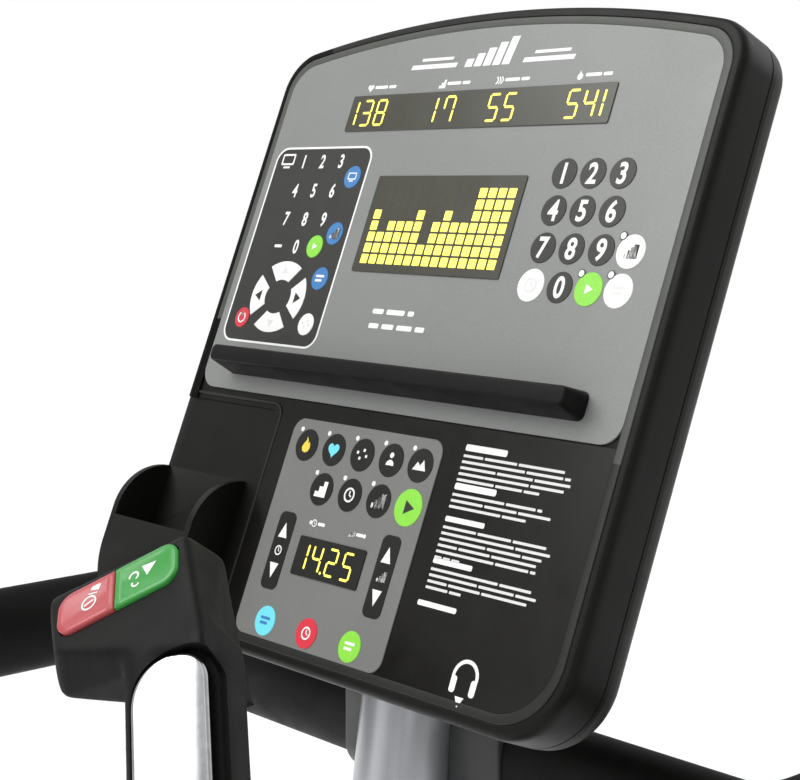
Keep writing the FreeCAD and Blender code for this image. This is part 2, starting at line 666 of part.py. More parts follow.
def lever():
    x0, x1 = LEVER_X - LEVER_HALF_WIDE, LEVER_X + LEVER_HALF_WIDE
    beam = box(x0, x1, -LEVER_LENGTH, 0, -LEVER_HALF_HIGH, LEVER_HALF_HIGH)
    beam = fillet(beam, 5, lambda e: is_along(e, Y))
    hollow = box(x0 + 3, x1 - 3, -LEVER_LENGTH + 30, -34, 3 - LEVER_HALF_HIGH, LEVER_HALF_HIGH - 3)
    hub = rod(60, 145, 0, 0, HUB_R)
    eye = rod(x0, x1, -LEVER_LENGTH, 0, EYE_R)
    rim = rod(STRAP_X0, STRAP_X1, 0, 0, SECTOR_R)
    # the pie spans 60 to 125 degrees from forward, measured on the machine at rest
    start, end = math.radians(60 + LEVER_REST), math.radians(125 + LEVER_REST)
    far = 260
    pie = prism_x([(0, 0), (far * math.cos(start), far * math.sin(start)),
                   (far * math.cos(end), far * math.sin(end))], STRAP_X0 - 1, STRAP_X1 + 1)
    sector = rim.common(pie)
    middle = (start + end) / 2
    sector = sector.cut(rod(50, 90, 70 * math.cos(middle), 70 * math.sin(middle), 20))
    drain = Part.makeCylinder(4, 10, V(LEVER_X, -LEVER_LENGTH + 60, -LEVER_HALF_HIGH - 2), Z)
    body = fuse([beam.cut(hollow).cut(drain), hub, eye, sector])
    body = body.cut(rod(50, 160, 0, 0, BUSH_R))
    body = body.cut(rod(50, 160, -LEVER_LENGTH, 0, PIN_R + FIT))
    return at_lever(body)


def lever_bushes():
    bushes = [ring(x, x + 22, 0, 0, BUSH_R - 0.05, PIVOT_R + FIT) for x in (60.5, 122.5)]
    return group([at_lever(bush) for bush in bushes])


def link():
    x0, x1 = LEVER_X - LINK_HALF_WIDE, LEVER_X + LINK_HALF_WIDE
    beam = box(x0, x1, -LEVER_LENGTH, 0, -LINK_HALF_HIGH, LINK_HALF_HIGH)
    beam = fillet(beam, 4, lambda e: is_along(e, Y))
    body = fuse([beam, rod(x0, x1, 0, 0, 20), rod(x0, x1, -LEVER_LENGTH, 0, LINK_HALF_HIGH)])
    body = body.cut(rod(50, 160, 0, 0, LINK_PIVOT_R + FIT))
    body = body.cut(rod(50, 160, -LEVER_LENGTH, 0, PIN_R + 2 * FIT))
    body = at_lever(body)
    body.translate(V(0, 0, -LINK_DROP))
    return body


def pivot_shafts():
    upper = rod(-PLATE_OUTER - 6, PLATE_OUTER + 6, PIVOT_Y, PIVOT_Z, PIVOT_R)
    lower = rod(-PLATE_OUTER - 6, PLATE_OUTER + 6, PIVOT_Y, PIVOT_Z - LINK_DROP, LINK_PIVOT_R)
    return group([upper, lower])


PEDAL_UNDER = 50.0
PEDAL_HALF, PEDAL_REAR, PEDAL_FRONT = 80.0, -235.0, 70.0


def pedal_carrier():
    end = lever_end(LEVER_REST)
    outline = [(-26, -110), (26, -110), (30, -60), (30, 42), (-60, 42), (-60, 0), (-26, -60)]
    parts = []
    for side in (-1, 1):
        x0, x1 = sorted((LEVER_X + side * CLEVIS_IN, LEVER_X + side * CLEVIS_OUT))
        cheek = prism_x(outline, x0, x1)
        parts.append(fillet(cheek, 8, lambda e: is_along(e, X) and e.CenterOfMass.z < -50))
    parts.append(box(LEVER_X - 45, LEVER_X + 45, -60, 30, 41, PEDAL_UNDER - 0.2))
    parts.append(box(LEVER_X - 20.9, LEVER_X + 20.9, -60, -52, 4, 42))
    parts.append(rod(LEVER_X - CLEVIS_OUT - 3, LEVER_X + CLEVIS_OUT + 3, 0, 0, PIN_R))
    parts.append(rod(LEVER_X - CLEVIS_OUT - 3, LEVER_X + CLEVIS_OUT + 3, 0, -LINK_DROP, PIN_R))
    carrier = fuse(parts)
    carrier.translate(end)
    return carrier


def pedal():
    end = lever_end(LEVER_REST)
    x0, x1 = LEVER_X - PEDAL_HALF, LEVER_X + PEDAL_HALF
    floor, top = PEDAL_UNDER, PEDAL_UNDER + 34
    plate = box(x0, x1, PEDAL_REAR, PEDAL_FRONT, floor, top)
    plate = plate.makeFillet(24, [e for e in plate.Edges if is_along(e, Z)
                                  and e.CenterOfMass.y > 0])
    plate = plate.makeFillet(10, [e for e in plate.Edges if is_along(e, Z)
                                  and e.CenterOfMass.y < -200])
    hollow = box(x0 + 7, x1 - 7, PEDAL_REAR - 5, PEDAL_FRONT - 7, floor + 10, top + 5)
    hollow = hollow.makeFillet(18, [e for e in hollow.Edges if is_along(e, Z)
                                    and e.CenterOfMass.y > 0])
    plate = plate.cut(hollow)
    # the lips fall away towards the open heel end
    fall = prism_x([(PEDAL_REAR - 5, floor + 12), (PEDAL_REAR - 5, top + 5), (-60, top + 5),
                    (-60, top - 0.5)], x0 - 5, x1 + 5)
    plate = plate.cut(fall)
    plate.translate(end)
    return plate


# ---------------------------------------------------------------- drive
def drum():
    body = rod(STRAP_X0 - 3, STRAP_X1 + 3, SHAFT_Y, SHAFT_Z, DRUM_R - 1)
    flanges = [rod(STRAP_X0 - 3, STRAP_X0, SHAFT_Y, SHAFT_Z, DRUM_R + 7),
               rod(STRAP_X1, STRAP_X1 + 3, SHAFT_Y, SHAFT_Z, DRUM_R + 15)]
    cup = ring(STRAP_X1 + 2, STRAP_X1 + 28, SHAFT_Y, SHAFT_Z, DRUM_R + 15, DRUM_R + 12)
    wound = rod(STRAP_X0 - 0.1, STRAP_X1 + 0.1, SHAFT_Y, SHAFT_Z, DRUM_R)
    return fuse([body, cup, wound] + flanges).cut(rod(0, 200, SHAFT_Y, SHAFT_Z, SHAFT_R + FIT))


def return_spring():
    """A flat spiral of half-circle arcs round the input shaft."""
    inner_r, pitch, thick, halves = 13.0, 3.0, 1.0, 14
    x0 = STRAP_X1 + 6
    inside, outside = [], []
    for i in range(halves):
        sign = 1 if i % 2 == 0 else -1
        centre = sign * pitch / 4
        r = inner_r + pitch / 2 * i
        for run, radius in ((inside, r), (outside, r + thick)):
            run.append(Part.Arc(V(x0, centre - sign * radius, 0), V(x0, centre, sign * radius),
                                V(x0, centre + sign * radius, 0)).toShape())
    first = Part.makeLine(inside[0].firstVertex().Point, outside[0].firstVertex().Point)
    last = Part.makeLine(inside[-1].lastVertex().Point, outside[-1].lastVertex().Point)
    wire = Part.Wire(Part.__sortEdges__(inside + outside + [first, last]))
    spring = Part.Face(wire).extrude(V(18, 0, 0))
    spring.translate(V(0, SHAFT_Y, SHAFT_Z))
    return spring


def climb_strap():
    """The straight run of webbing from the lever's sector to the drum."""
    dy, dz = SHAFT_Y - PIVOT_Y, SHAFT_Z - PIVOT_Z
    distance = math.hypot(dy, dz)
    rise = math.atan2(dz, dy) + math.acos((SECTOR_R - DRUM_R) / distance)
    run = math.sqrt(distance ** 2 - (SECTOR_R - DRUM_R) ** 2)
    strap = box(STRAP_X0 + 1, STRAP_X1 - 1, 4, run - 4, GAP, GAP + 2)
    strap.rotate(V(0, 0, 0), X, math.degrees(rise) - 90)
    touch = V(0, PIVOT_Y + SECTOR_R * math.cos(rise), PIVOT_Z + SECTOR_R * math.sin(rise))
    strap.translate(touch)
    return strap


def input_shaft():
    return rod(-PLATE_OUTER - 4, PLATE_OUTER + 4, SHAFT_Y, SHAFT_Z, SHAFT_R)


def shaft_bearings():
    bearing = ring(PLATE_INNER - 2, PLATE_OUTER + 2, SHAFT_Y, SHAFT_Z, BEARING_R, SHAFT_R + FIT)
    bearing = bearing.cut(ring(PLATE_OUTER + 0.5, PLATE_OUTER + 3, SHAFT_Y, SHAFT_Z, 18, 14))
    return group(both_sides(bearing))


def drive_pulley():
    wheel = rod(-PULLEY_HALF, PULLEY_HALF, SHAFT_Y, SHAFT_Z, PULLEY_R)
    wheel = wheel.fuse(rod(-18, 18, SHAFT_Y, SHAFT_Z, 20))
    for x0, x1 in ((-PULLEY_HALF - 1, -3), (3, PULLEY_HALF + 1)):
        wheel = wheel.cut(ring(x0, x1, SHAFT_Y, SHAFT_Z, PULLEY_R - 10, 28))
    for i in range(6):
        turn = math.radians(60 * i)
        wheel = wheel.cut(rod(-20, 20, SHAFT_Y + 60 * math.cos(turn),
                              SHAFT_Z + 60 * math.sin(turn), 18))
    return wheel.cut(rod(-30, 30, SHAFT_Y, SHAFT_Z, SHAFT_R + FIT))


def belt_loop(offset):
    """The face inside an open belt that stands off both pulleys by offset."""
    dy, dz = ROTOR_Y - SHAFT_Y, ROTOR_Z - SHAFT_Z
    distance = math.hypot(dy, dz)
    heading = math.atan2(dz, dy)
    spread = math.acos((PULLEY_R - ROTOR_R) / distance)
    big, small = PULLEY_R + offset, ROTOR_R + offset

    def on_big(angle):
        return V(0, SHAFT_Y + big * math.cos(angle), SHAFT_Z + big * math.sin(angle))

    def on_small(angle):
        return V(0, ROTOR_Y + small * math.cos(angle), ROTOR_Z + small * math.sin(angle))

    a, b = heading + spread, heading - spread
    edges = [Part.makeLine(on_big(a), on_small(a)),
             Part.Arc(on_small(a), on_small(heading), on_small(b)).toShape(),
             Part.makeLine(on_small(b), on_big(b)),
             Part.Arc(on_big(b), on_big(heading + math.pi), on_big(a)).toShape()]
    return Part.Face(Part.Wire(edges))


def drive_belt():
    loop = belt_loop(GAP + 2.6).cut(belt_loop(GAP))
    belt = loop.extrude(V(12, 0, 0))
    belt.translate(V(-6, 0, 0))
    return belt


def alternator():
    body = rod(30, 112, ROTOR_Y, ROTOR_Z, 60)
    body = fillet(body, 8, lambda e: isinstance(e.Curve, Part.Circle))
    foot = box(36, 98, ROTOR_Y - 30, ROTOR_Y + 30, 118, ROTOR_Z - 40)
    body = body.fuse(foot)
    for i in range(10):
        turn = math.radians(36 * i)
        body = body.cut(rod(104, 120, ROTOR_Y + 42 * math.cos(turn),
                            ROTOR_Z + 42 * math.sin(turn), 7))
    return body.cut(rod(20, 62, ROTOR_Y, ROTOR_Z, 7.5 + FIT))


def rotor():
    shaft = rod(-72, 60, ROTOR_Y, ROTOR_Z, 7.5)
    pulley = rod(-PULLEY_HALF, PULLEY_HALF, ROTOR_Y, ROTOR_Z, ROTOR_R)
    wheel = rod(-62, -36, ROTOR_Y, ROTOR_Z, 68).cut(ring(-64, -54, ROTOR_Y, ROTOR_Z, 56, 20))
    return fuse([shaft, pulley, wheel])


def controller():
    case = box(-PLATE_INNER + 0.3, -104, 350, 430, 95, 245)
    case = fillet(case, 4, lambda e: is_along(e, X))
    for row in range(8):
        case = case.cut(box(-110, -100, 360, 420, 108 + 16 * row, 116 + 16 * row))
    return case


# ---------------------------------------------------------------- the nodes
def parts():
    yield "base_rails", base_rails()
    yield "cross_members", cross_members()
    yield "drive_plates", drive_plates()
    yield "bumpers", bumpers()
    yield "leveling_feet", leveling_feet()
    yield "wheel_axles", wheel_axles()
    yield "mast", mast()
    yield "mast_boot", mast_boot()
    yield "rail_end_caps", rail_end_caps()
    yield "rail_bracket", rail_bracket()
    yield "pivot_shafts", pivot_shafts()
    yield "return_springs", group(both_sides(return_spring()))
    yield "climb_straps", group(both_sides(climb_strap()))
    yield "input_shaft", input_shaft()
    yield "shaft_bearings", shaft_bearings()
    yield "drive_pulley", drive_pulley()
    yield "drive_belt", drive_belt()
    yield "alternator", alternator()
    yield "alternator_rotor", rotor()
    yield "controller", controller()
    pairs = {"transport_wheel": transport_wheel, "shroud": shroud, "handrail": handrail,
             "hand_grip": hand_grip, "pulse_sensor": sensor_plate, "level_button": level_button,
             "stop_button": stop_button, "lever": lever, "lever_bushes": lever_bushes,
             "link": link, "pedal_carrier": pedal_carrier, "pedal": pedal, "drum": drum}
    for name, make in pairs.items():
        right = make()
        yield name + "_right", right
        yield name + "_left", mirrored(right)
    yield "console_trim_left", in_console(console_trim(-1))
    yield "console_trim_right", in_console(console_trim(1))
    yield "upper_panel", in_console(upper_panel_zone(0))
    yield "lower_panel", in_console(lower_panel_zone(0))
    yield "console_screws", console_screws()
    yield "console_bracket", console_bracket()
    for make in (console_housing, console_back, key_panel, display_windows, reading_shelf,
                 accessory_tray, console_board, headphone_jack):
        yield make.__name__, in_console(make())


os.makedirs("parts", exist_ok=True)
for node, shape in parts():
    shape.exportStep(os.path.join("parts", node + ".step"))
    if not shape.isValid():
        print("NOT VALID", node)
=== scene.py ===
import json
import math

import bmesh
import bpy
from mathutils import Matrix, Vector


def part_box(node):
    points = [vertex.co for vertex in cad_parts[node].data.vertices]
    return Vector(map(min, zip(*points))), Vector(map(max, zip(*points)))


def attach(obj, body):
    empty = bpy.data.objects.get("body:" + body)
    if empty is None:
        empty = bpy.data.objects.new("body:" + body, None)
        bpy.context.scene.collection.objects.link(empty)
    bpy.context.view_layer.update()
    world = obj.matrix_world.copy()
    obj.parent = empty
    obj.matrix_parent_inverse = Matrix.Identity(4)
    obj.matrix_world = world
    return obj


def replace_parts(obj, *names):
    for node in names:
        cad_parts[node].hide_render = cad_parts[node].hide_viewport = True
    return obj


# Looks of the pedal stair climber. Lengths are millimetres where a name or a comment says so, and
# MM turns them into metres. The console is drawn in its own frame: u across the face, v up along it
# and n out of it towards the user.

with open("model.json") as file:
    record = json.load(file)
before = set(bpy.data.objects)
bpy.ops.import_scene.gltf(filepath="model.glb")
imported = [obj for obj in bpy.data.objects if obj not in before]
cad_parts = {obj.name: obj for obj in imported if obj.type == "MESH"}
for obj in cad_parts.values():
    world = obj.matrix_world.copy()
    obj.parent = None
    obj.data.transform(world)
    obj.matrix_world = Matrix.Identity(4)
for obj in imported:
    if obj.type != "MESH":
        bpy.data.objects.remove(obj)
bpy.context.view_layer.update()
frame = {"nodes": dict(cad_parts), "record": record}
NODES = frame["nodes"]
BODY_OF = {n: b for b, ns in frame["record"]["behaviour"]["bodies"].items() for n in ns}
SLOT_OF = {s["node"]: s["material_slot"] for s in frame["record"]["subparts"]}

MM = 0.001
SIDES = (("left", -1), ("right", 1))
CONSOLE_LEAN = 22.35                       # degrees from vertical
CONSOLE_FOOT = Vector((0, 0.330, 1.258))   # middle of the face's lower edge
CONSOLE = (Matrix.Translation(CONSOLE_FOOT)
           @ Matrix.Rotation(math.radians(90 - CONSOLE_LEAN), 4, "X")
           @ Matrix.Scale(MM, 4))
WORLD_MM = Matrix.Scale(MM, 4)


# ---------------------------------------------------------------- materials
def linear(r, g, b):
    """0-255 display values to linear light."""
    def one(c):
        c /= 255
        return c / 12.92 if c <= 0.04045 else ((c + 0.055) / 1.055) ** 2.4
    return (one(r), one(g), one(b), 1)


def shade(colour, amount):
    """The colour made lighter or darker."""
    return tuple(min(1, c * amount) for c in colour[:3]) + (1,)


class Paint:
    """A node material with a Principled shader and a few shorthand links."""

    def __init__(self, name):
        self.mat = bpy.data.materials.new(name)
        self.mat.use_nodes = True
        self.nodes = self.mat.node_tree.nodes
        self.links = self.mat.node_tree.links
        self.shader = self.nodes["Principled BSDF"]
        self.place = self.nodes.new("ShaderNodeTexCoord").outputs["Object"]

    def put(self, socket, value):
        self.shader.inputs[socket].default_value = value

    def noise(self, size, detail=3.0, rough=0.55, stretch=(1, 1, 1)):
        """Noise whose lumps are about size metres across, drawn out along the stretch axes."""
        mapping = self.nodes.new("ShaderNodeMapping")
        mapping.inputs["Scale"].default_value = [1 / s for s in stretch]
        self.links.new(self.place, mapping.inputs["Vector"])
        node = self.nodes.new("ShaderNodeTexNoise")
        node.inputs["Scale"].default_value = 1 / size
        node.inputs["Detail"].default_value = detail
        node.inputs["Roughness"].default_value = rough
        self.links.new(mapping.outputs["Vector"], node.inputs["Vector"])
        return node.outputs["Fac"]

    def spread(self, value, low, high, start=0.3, end=0.7):
        node = self.nodes.new("ShaderNodeMapRange")
        node.inputs["From Min"].default_value = start
        node.inputs["From Max"].default_value = end
        node.inputs["To Min"].default_value = low
        node.inputs["To Max"].default_value = high
        self.links.new(value, node.inputs["Value"])
        return node.outputs["Result"]

    def mix(self, factor, a, b):
        node = self.nodes.new("ShaderNodeMix")
        node.data_type = "RGBA"
        self.links.new(factor, node.inputs["Factor"])
        for socket, value in ((node.inputs[6], a), (node.inputs[7], b)):
            if isinstance(value, tuple):
                socket.default_value = value
            else:
                self.links.new(value, socket)
        return node.outputs[2]

    def colour(self, colour, vary, size):
        """Two close tones of one colour in soft patches."""
        patches = self.spread(self.noise(size), 0, 1)
        return self.mix(patches, shade(colour, 1 - vary), shade(colour, 1 + vary))

    def bump(self, height, strength, distance):
        node = self.nodes.new("ShaderNodeBump")
        node.inputs["Strength"].default_value = strength
        node.inputs["Distance"].default_value = distance
        self.links.new(height, node.inputs["Height"])
        self.links.new(node.outputs["Normal"], self.shader.inputs["Normal"])

    def link(self, value, socket):
        self.links.new(value, self.shader.inputs[socket])


def moulded(name, colour, rough, grain=0.0007, depth=0.25, vary=0.12, specular=0.5):
    """Injection-moulded plastic: a fine spark-eroded grain, faint patches and handling marks."""
    p = Paint(name)
    p.link(p.colour(colour, vary, 0.05), "Base Color")
    smears = p.noise(0.035, detail=5, rough=0.7)
    p.link(p.spread(smears, rough - 0.07, rough + 0.07), "Roughness")
    p.put("Specular IOR Level", specular)
    p.bump(p.noise(grain, detail=2), depth, 0.00012)
    return p.mat


def soft_touch(name, colour, rough):
    """Rubbery overmould with fine leathery pits."""
    p = Paint(name)
    p.link(p.colour(colour, 0.15, 0.03), "Base Color")
    p.link(p.spread(p.noise(0.02, 5), rough - 0.05, rough + 0.08), "Roughness")
    p.put("Specular IOR Level", 0.14)
    cells = p.nodes.new("ShaderNodeTexVoronoi")
    cells.inputs["Scale"].default_value = 900
    p.links.new(p.place, cells.inputs["Vector"])
    p.bump(cells.outputs["Distance"], 0.12, 0.0002)
    return p.mat


def glossy_film(name, colour, rough, vary=0.06, ripple=0.05, coat=0.35, specular=0.5):
    """Printed polyester film under a clear hard coat, with a very slight orange peel."""
    p = Paint(name)
    ink = p.colour(colour, vary, 0.09)
    fleck = p.spread(p.noise(0.0009, 2), 0, 1, 0.35, 0.75)
    p.link(p.mix(fleck, ink, shade(colour, 1.16)), "Base Color")
    p.link(p.spread(p.noise(0.03, 5, 0.7), rough - 0.04, rough + 0.06), "Roughness")
    p.put("Specular IOR Level", specular)
    p.put("Coat Weight", coat)
    p.put("Coat Roughness", 0.16)
    p.bump(p.noise(0.004, 2), ripple, 0.0001)
    return p.mat


def painted(name, colour, rough, metallic=0.0, flake=0.0, coat=0.4):
    """Powder coat or metallic paint on steel: orange peel, and flakes if it is metallic."""
    p = Paint(name)
    base = p.colour(colour, 0.07, 0.12)
    if flake:
        sparkle = p.spread(p.noise(0.0006, 1), 0, 1, 0.5, 0.8)
        base = p.mix(sparkle, base, shade(colour, 1 + flake))
    p.link(base, "Base Color")
    p.put("Metallic", metallic)
    p.link(p.spread(p.noise(0.05, 5, 0.7), rough - 0.05, rough + 0.07), "Roughness")
    p.put("Coat Weight", coat)
    p.put("Coat Roughness", 0.22)
    p.bump(p.noise(0.0016, 2), 0.1, 0.00015)
    return p.mat


def metal(name, colour, rough, stretch, scratch=0.3):
    """Bare metal with the fine lines of its finish drawn out along one axis."""
    p = Paint(name)
    lines = p.noise(0.0012, 4, 0.7, stretch)
    p.link(p.mix(p.spread(lines, 0, 1), shade(colour, 0.86), shade(colour, 1.08)), "Base Color")
    p.put("Metallic", 1.0)
    p.link(p.spread(p.noise(0.02, 5, 0.7, stretch), rough - 0.06, rough + 0.1), "Roughness")
    p.bump(lines, scratch, 0.00004)
    return p.mat


def rubber(name, colour, rough, grain=0.0012):
    p = Paint(name)
    dust = p.spread(p.noise(0.03, 6, 0.7), 0, 1, 0.45, 0.8)
    p.link(p.mix(dust, colour, shade(colour, 1.7)), "Base Color")
    p.link(p.spread(p.noise(0.01, 4), rough - 0.06, rough + 0.06), "Roughness")
    p.put("Specular IOR Level", 0.35)
    p.bump(p.noise(grain, 3), 0.3, 0.0002)
    return p.mat


def button_plastic(name, colour):
    p = Paint(name)
    p.link(p.colour(colour, 0.05, 0.02), "Base Color")
    p.link(p.spread(p.noise(0.006, 4), 0.30, 0.42), "Roughness")
    p.put("Subsurface Weight", 0.15)
    p.put("Subsurface Radius", (0.002, 0.002, 0.001))
    p.put("Coat Weight", 0.25)
    p.put("Coat Roughness", 0.2)
    p.bump(p.noise(0.0006, 2), 0.12, 0.0001)
    return p.mat


def lit(name, colour, glow):
    """A lit display segment seen through the smoked window, a little uneven from cell to cell."""
    p = Paint(name)
    cell = p.spread(p.noise(0.004, 2), 0.88, 1.08)
    hue = p.mix(cell, shade(colour, 0.7), colour)
    p.link(hue, "Base Color")
    p.link(hue, "Emission Color")
    p.put("Emission Strength", glow)
    p.put("Roughness", 0.35)
    return p.mat


def ink(name, colour, glow=0.0):
    """Screen-printed ink with slightly uneven cover."""
    p = Paint(name)
    thin = p.spread(p.noise(0.0015, 3), 0, 1, 0.4, 0.7)
    hue = p.mix(thin, shade(colour, 0.93), colour)
    p.link(hue, "Base Color")
    if glow:
        p.link(hue, "Emission Color")
        p.put("Emission Strength", glow)
    p.link(p.spread(p.noise(0.01, 3), 0.34, 0.46), "Roughness")
    p.put("Coat Weight", 0.2)
    p.put("Coat Roughness", 0.2)
    return p.mat


LEAD_X = (40, 1, 1)     # brushing that runs along X
MATERIALS = {
    "grey_steel": painted("grey_powder_coat", linear(132, 135, 134), 0.42, coat=0.25),
    "black_steel": painted("black_powder_coat", linear(38, 39, 37), 0.45, coat=0.2),
    "silver_mast": painted("silver_paint", linear(190, 192, 196), 0.34, 0.85, 0.25, 0.5),
    "bare_steel": metal("machined_steel", linear(178, 178, 176), 0.3, LEAD_X),
    "zinc_steel": metal("zinc_plate", linear(190, 192, 190), 0.35, (1, 1, 1), 0.2),
    "alloy": metal("cast_alloy", linear(186, 188, 190), 0.42, (2, 2, 2), 0.4),
    "sensor_metal": metal("polished_sensor", linear(216, 217, 219), 0.15, (6, 6, 6), 0.02),
    "black_rubber": rubber("black_rubber", linear(30, 30, 29), 0.72),
    "belt_rubber": rubber("belt_rubber", linear(26, 26, 26), 0.6, 0.0007),
    "soft_black": soft_touch("soft_touch_black", linear(12, 14, 11), 0.5),
    "shroud_grey": moulded("shroud_plastic", linear(132, 134, 134), 0.46, 0.0011, 0.35, 0.035),
    "console_black": moulded("console_plastic", linear(15, 17, 13), 0.42, vary=0.08, specular=0.16),
    "console_cover": moulded("cover_plastic", linear(36, 38, 34), 0.5, 0.001, 0.4, specular=0.3),
    "bezel_black": moulded("bezel_plastic", linear(74, 76, 71), 0.36, 0.0005, 0.12, 0.06, 0.3),
    "panel_grey": glossy_film("panel_grey_film", linear(125, 127, 125), 0.38, coat=0.15),
    "panel_black": glossy_film("panel_black_film", linear(16, 15, 12), 0.2, 0.08, 0.03, 0.05, 0.3),
    "keypad_grey": glossy_film("keypad_grey_film", linear(112, 113, 110), 0.36, coat=0.2),
    "smoked_window": glossy_film("smoked_window", linear(66, 66, 57), 0.22, 0.05, 0.02, 0.2, 0.4),
    "circuit_board": moulded("board_resin", linear(22, 78, 48), 0.4, 0.003, 0.2),
    "button_green": button_plastic("green_button", linear(42, 150, 52)),
    "button_red": button_plastic("red_button", linear(182, 66, 72)),
    "webbing": rubber("webbing", linear(40, 40, 42), 0.8, 0.0008),
}
WHITE = ink("print_white", linear(248, 249, 246))
KEY_DARK = glossy_film("key_dark", linear(46, 47, 43), 0.34, 0.05, 0.02, 0.15, 0.3)
KEY_BLACK = glossy_film("key_black", linear(22, 22, 20), 0.3, 0.05, 0.02, 0.15, 0.3)
GREEN_INK = ink("print_green", linear(140, 224, 62))
CYAN_INK = ink("print_cyan", linear(112, 226, 240))
RED_INK = ink("print_red", linear(220, 40, 62))
BLUE_INK = ink("print_blue", linear(52, 124, 190))
YELLOW_INK = ink("print_yellow", linear(244, 214, 70))
GREY_INK = ink("print_grey", linear(226, 227, 224))
LED = lit("led_yellow", linear(250, 236, 96), 0.85)


# ---------------------------------------------------------------- mesh building
def finish_object(name, mesh, body, materials, smooth=40.0):
    for m in materials:
        mesh.materials.append(m)
    mesh.validate()
    obj = bpy.data.objects.new(name, mesh)
    bpy.context.scene.collection.objects.link(obj)
    mesh.shade_smooth()
    mesh.set_sharp_from_angle(angle=math.radians(smooth))
    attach(obj, body)
    return obj


class Build:
    """Gathers prisms, sweeps and turned shapes, each with its own material, into one mesh."""

    def __init__(self, matrix=WORLD_MM):
        self.matrix = matrix
        self.verts, self.faces, self.index, self.mats = [], [], [], []

    def add(self, verts, faces, mat):
        start = len(self.verts)
        if mat not in self.mats:
            self.mats.append(mat)
        self.verts += [Vector(v) for v in verts]
        self.faces += [[start + i for i in f] for f in faces]
        self.index += [self.mats.index(mat)] * len(faces)

    def prism(self, outline, low, high, mat, edge=0.0):
        """A flat plate, with its upper rim drawn in by edge."""
        rings = [[(x, y, low) for x, y in outline]]
        if edge:
            rings.append([(x, y, high - edge) for x, y in outline])
            rings.append([(x, y, high) for x, y in shrink(outline, edge)])
        else:
            rings.append([(x, y, high) for x, y in outline])
        self.loft(rings, mat)

    def frame(self, outer, inner, low, high, mat):
        """A flat ring between two outlines with the same number of points."""
        n = len(outer)
        verts = [(x, y, z) for z in (low, high) for pts in (outer, inner) for x, y in pts]
        faces = []
        for i in range(n):
            j = (i + 1) % n
            faces += [[2 * n + i, 2 * n + j, 3 * n + j, 3 * n + i], [n + i, n + j, j, i],
                      [i, j, 2 * n + j, 2 * n + i], [n + j, n + i, 3 * n + i, 3 * n + j]]
        self.add(verts, faces, mat)

    def loft(self, rings, mat, caps=True, loop=False):
        """Skins between closed rings of points. loop joins the last ring to the first."""
        n = len(rings[0])
        verts = [p for ring in rings for p in ring]
        faces = []
        for k in range(len(rings) if loop else len(rings) - 1):
            a, b = k * n, (k + 1) % len(rings) * n
            for i in range(n):
                j = (i + 1) % n
                faces.append([a + i, a + j, b + j, b + i])
        if caps and not loop:
            faces.append(list(range(n))[::-1])
            faces.append([(len(rings) - 1) * n + i for i in range(n)])
        self.add(verts, faces, mat)

    def turned(self, profile, mat, origin=(0, 0, 0), axis=(0, 0, 1), steps=48):
        """A profile of (radius, height) points turned about an axis."""
        turn = Vector(axis).to_track_quat("Z", "Y").to_matrix()
        rings = []
        for radius, height in profile:
            ring = []
            for i in range(steps):
                a = 2 * math.pi * i / steps
                local = Vector((radius * math.cos(a), radius * math.sin(a), height))
                ring.append(Vector(origin) + turn @ local)
            rings.append(ring)
        self.loft(rings, mat)

    def mesh(self, name, mirror=False):
        mesh = bpy.data.meshes.new(name)
        flip = Matrix.Scale(-1, 4, (1, 0, 0)) if mirror else Matrix.Identity(4)
        mesh.from_pydata([flip @ (self.matrix @ v) for v in self.verts], [], self.faces)
        mesh.polygons.foreach_set("material_index", self.index)
        work = bmesh.new()
        work.from_mesh(mesh)
        bmesh.ops.remove_doubles(work, verts=work.verts, dist=1e-7)
        bmesh.ops.recalc_face_normals(work, faces=work.faces)
        work.to_mesh(mesh)
        work.free()
        return mesh

    def object(self, name, body, slot, smooth=40.0, mirror=False):
        return finish_object(name, self.mesh(name, mirror), body, self.mats, smooth)


def shrink(points, amount):
    """Draws a counterclockwise outline in by amount."""
    result = []
    n = len(points)
    for i in range(n):
        before, here, after = (Vector(points[(i + k) % n]) for k in (-1, 0, 1))
        a, b = (here - before).normalized(), (after - here).normalized()
        inward = Vector((-(a.y + b.y), a.x + b.x))
        inward.normalize()
        scale = amount / max(0.5, inward.dot(Vector((-a.y, a.x))))
        result.append(tuple(here + inward * scale))
    return result


def circle(x, y, radius, steps=32):
    return [(x + radius * math.cos(2 * math.pi * i / steps),
             y + radius * math.sin(2 * math.pi * i / steps)) for i in range(steps)]


def arc(x, y, radius, start, end, steps=12):
    """Points on an arc, in degrees."""
    turns = [math.radians(start + (end - start) * i / steps) for i in range(steps + 1)]
    return [(x + radius * math.cos(t), y + radius * math.sin(t)) for t in turns]


def rounded(x0, x1, y0, y1, r, steps=8):
    """A rounded rectangle, counterclockwise."""
    return (arc(x1 - r, y0 + r, r, -90, 0, steps) + arc(x1 - r, y1 - r, r, 0, 90, steps)
            + arc(x0 + r, y1 - r, r, 90, 180, steps) + arc(x0 + r, y0 + r, r, 180, 270, steps))


def band(path, width):
    """A stroke of this width along a list of points."""
    left, right = [], []
    points = [Vector(p) for p in path]
    for k, p in enumerate(points):
        ahead = (points[min(k + 1, len(points) - 1)] - points[max(k - 1, 0)]).normalized()
        side = Vector((-ahead.y, ahead.x)) * width / 2
        left.append(tuple(p + side))
        right.append(tuple(p - side))
    return right + left[::-1]


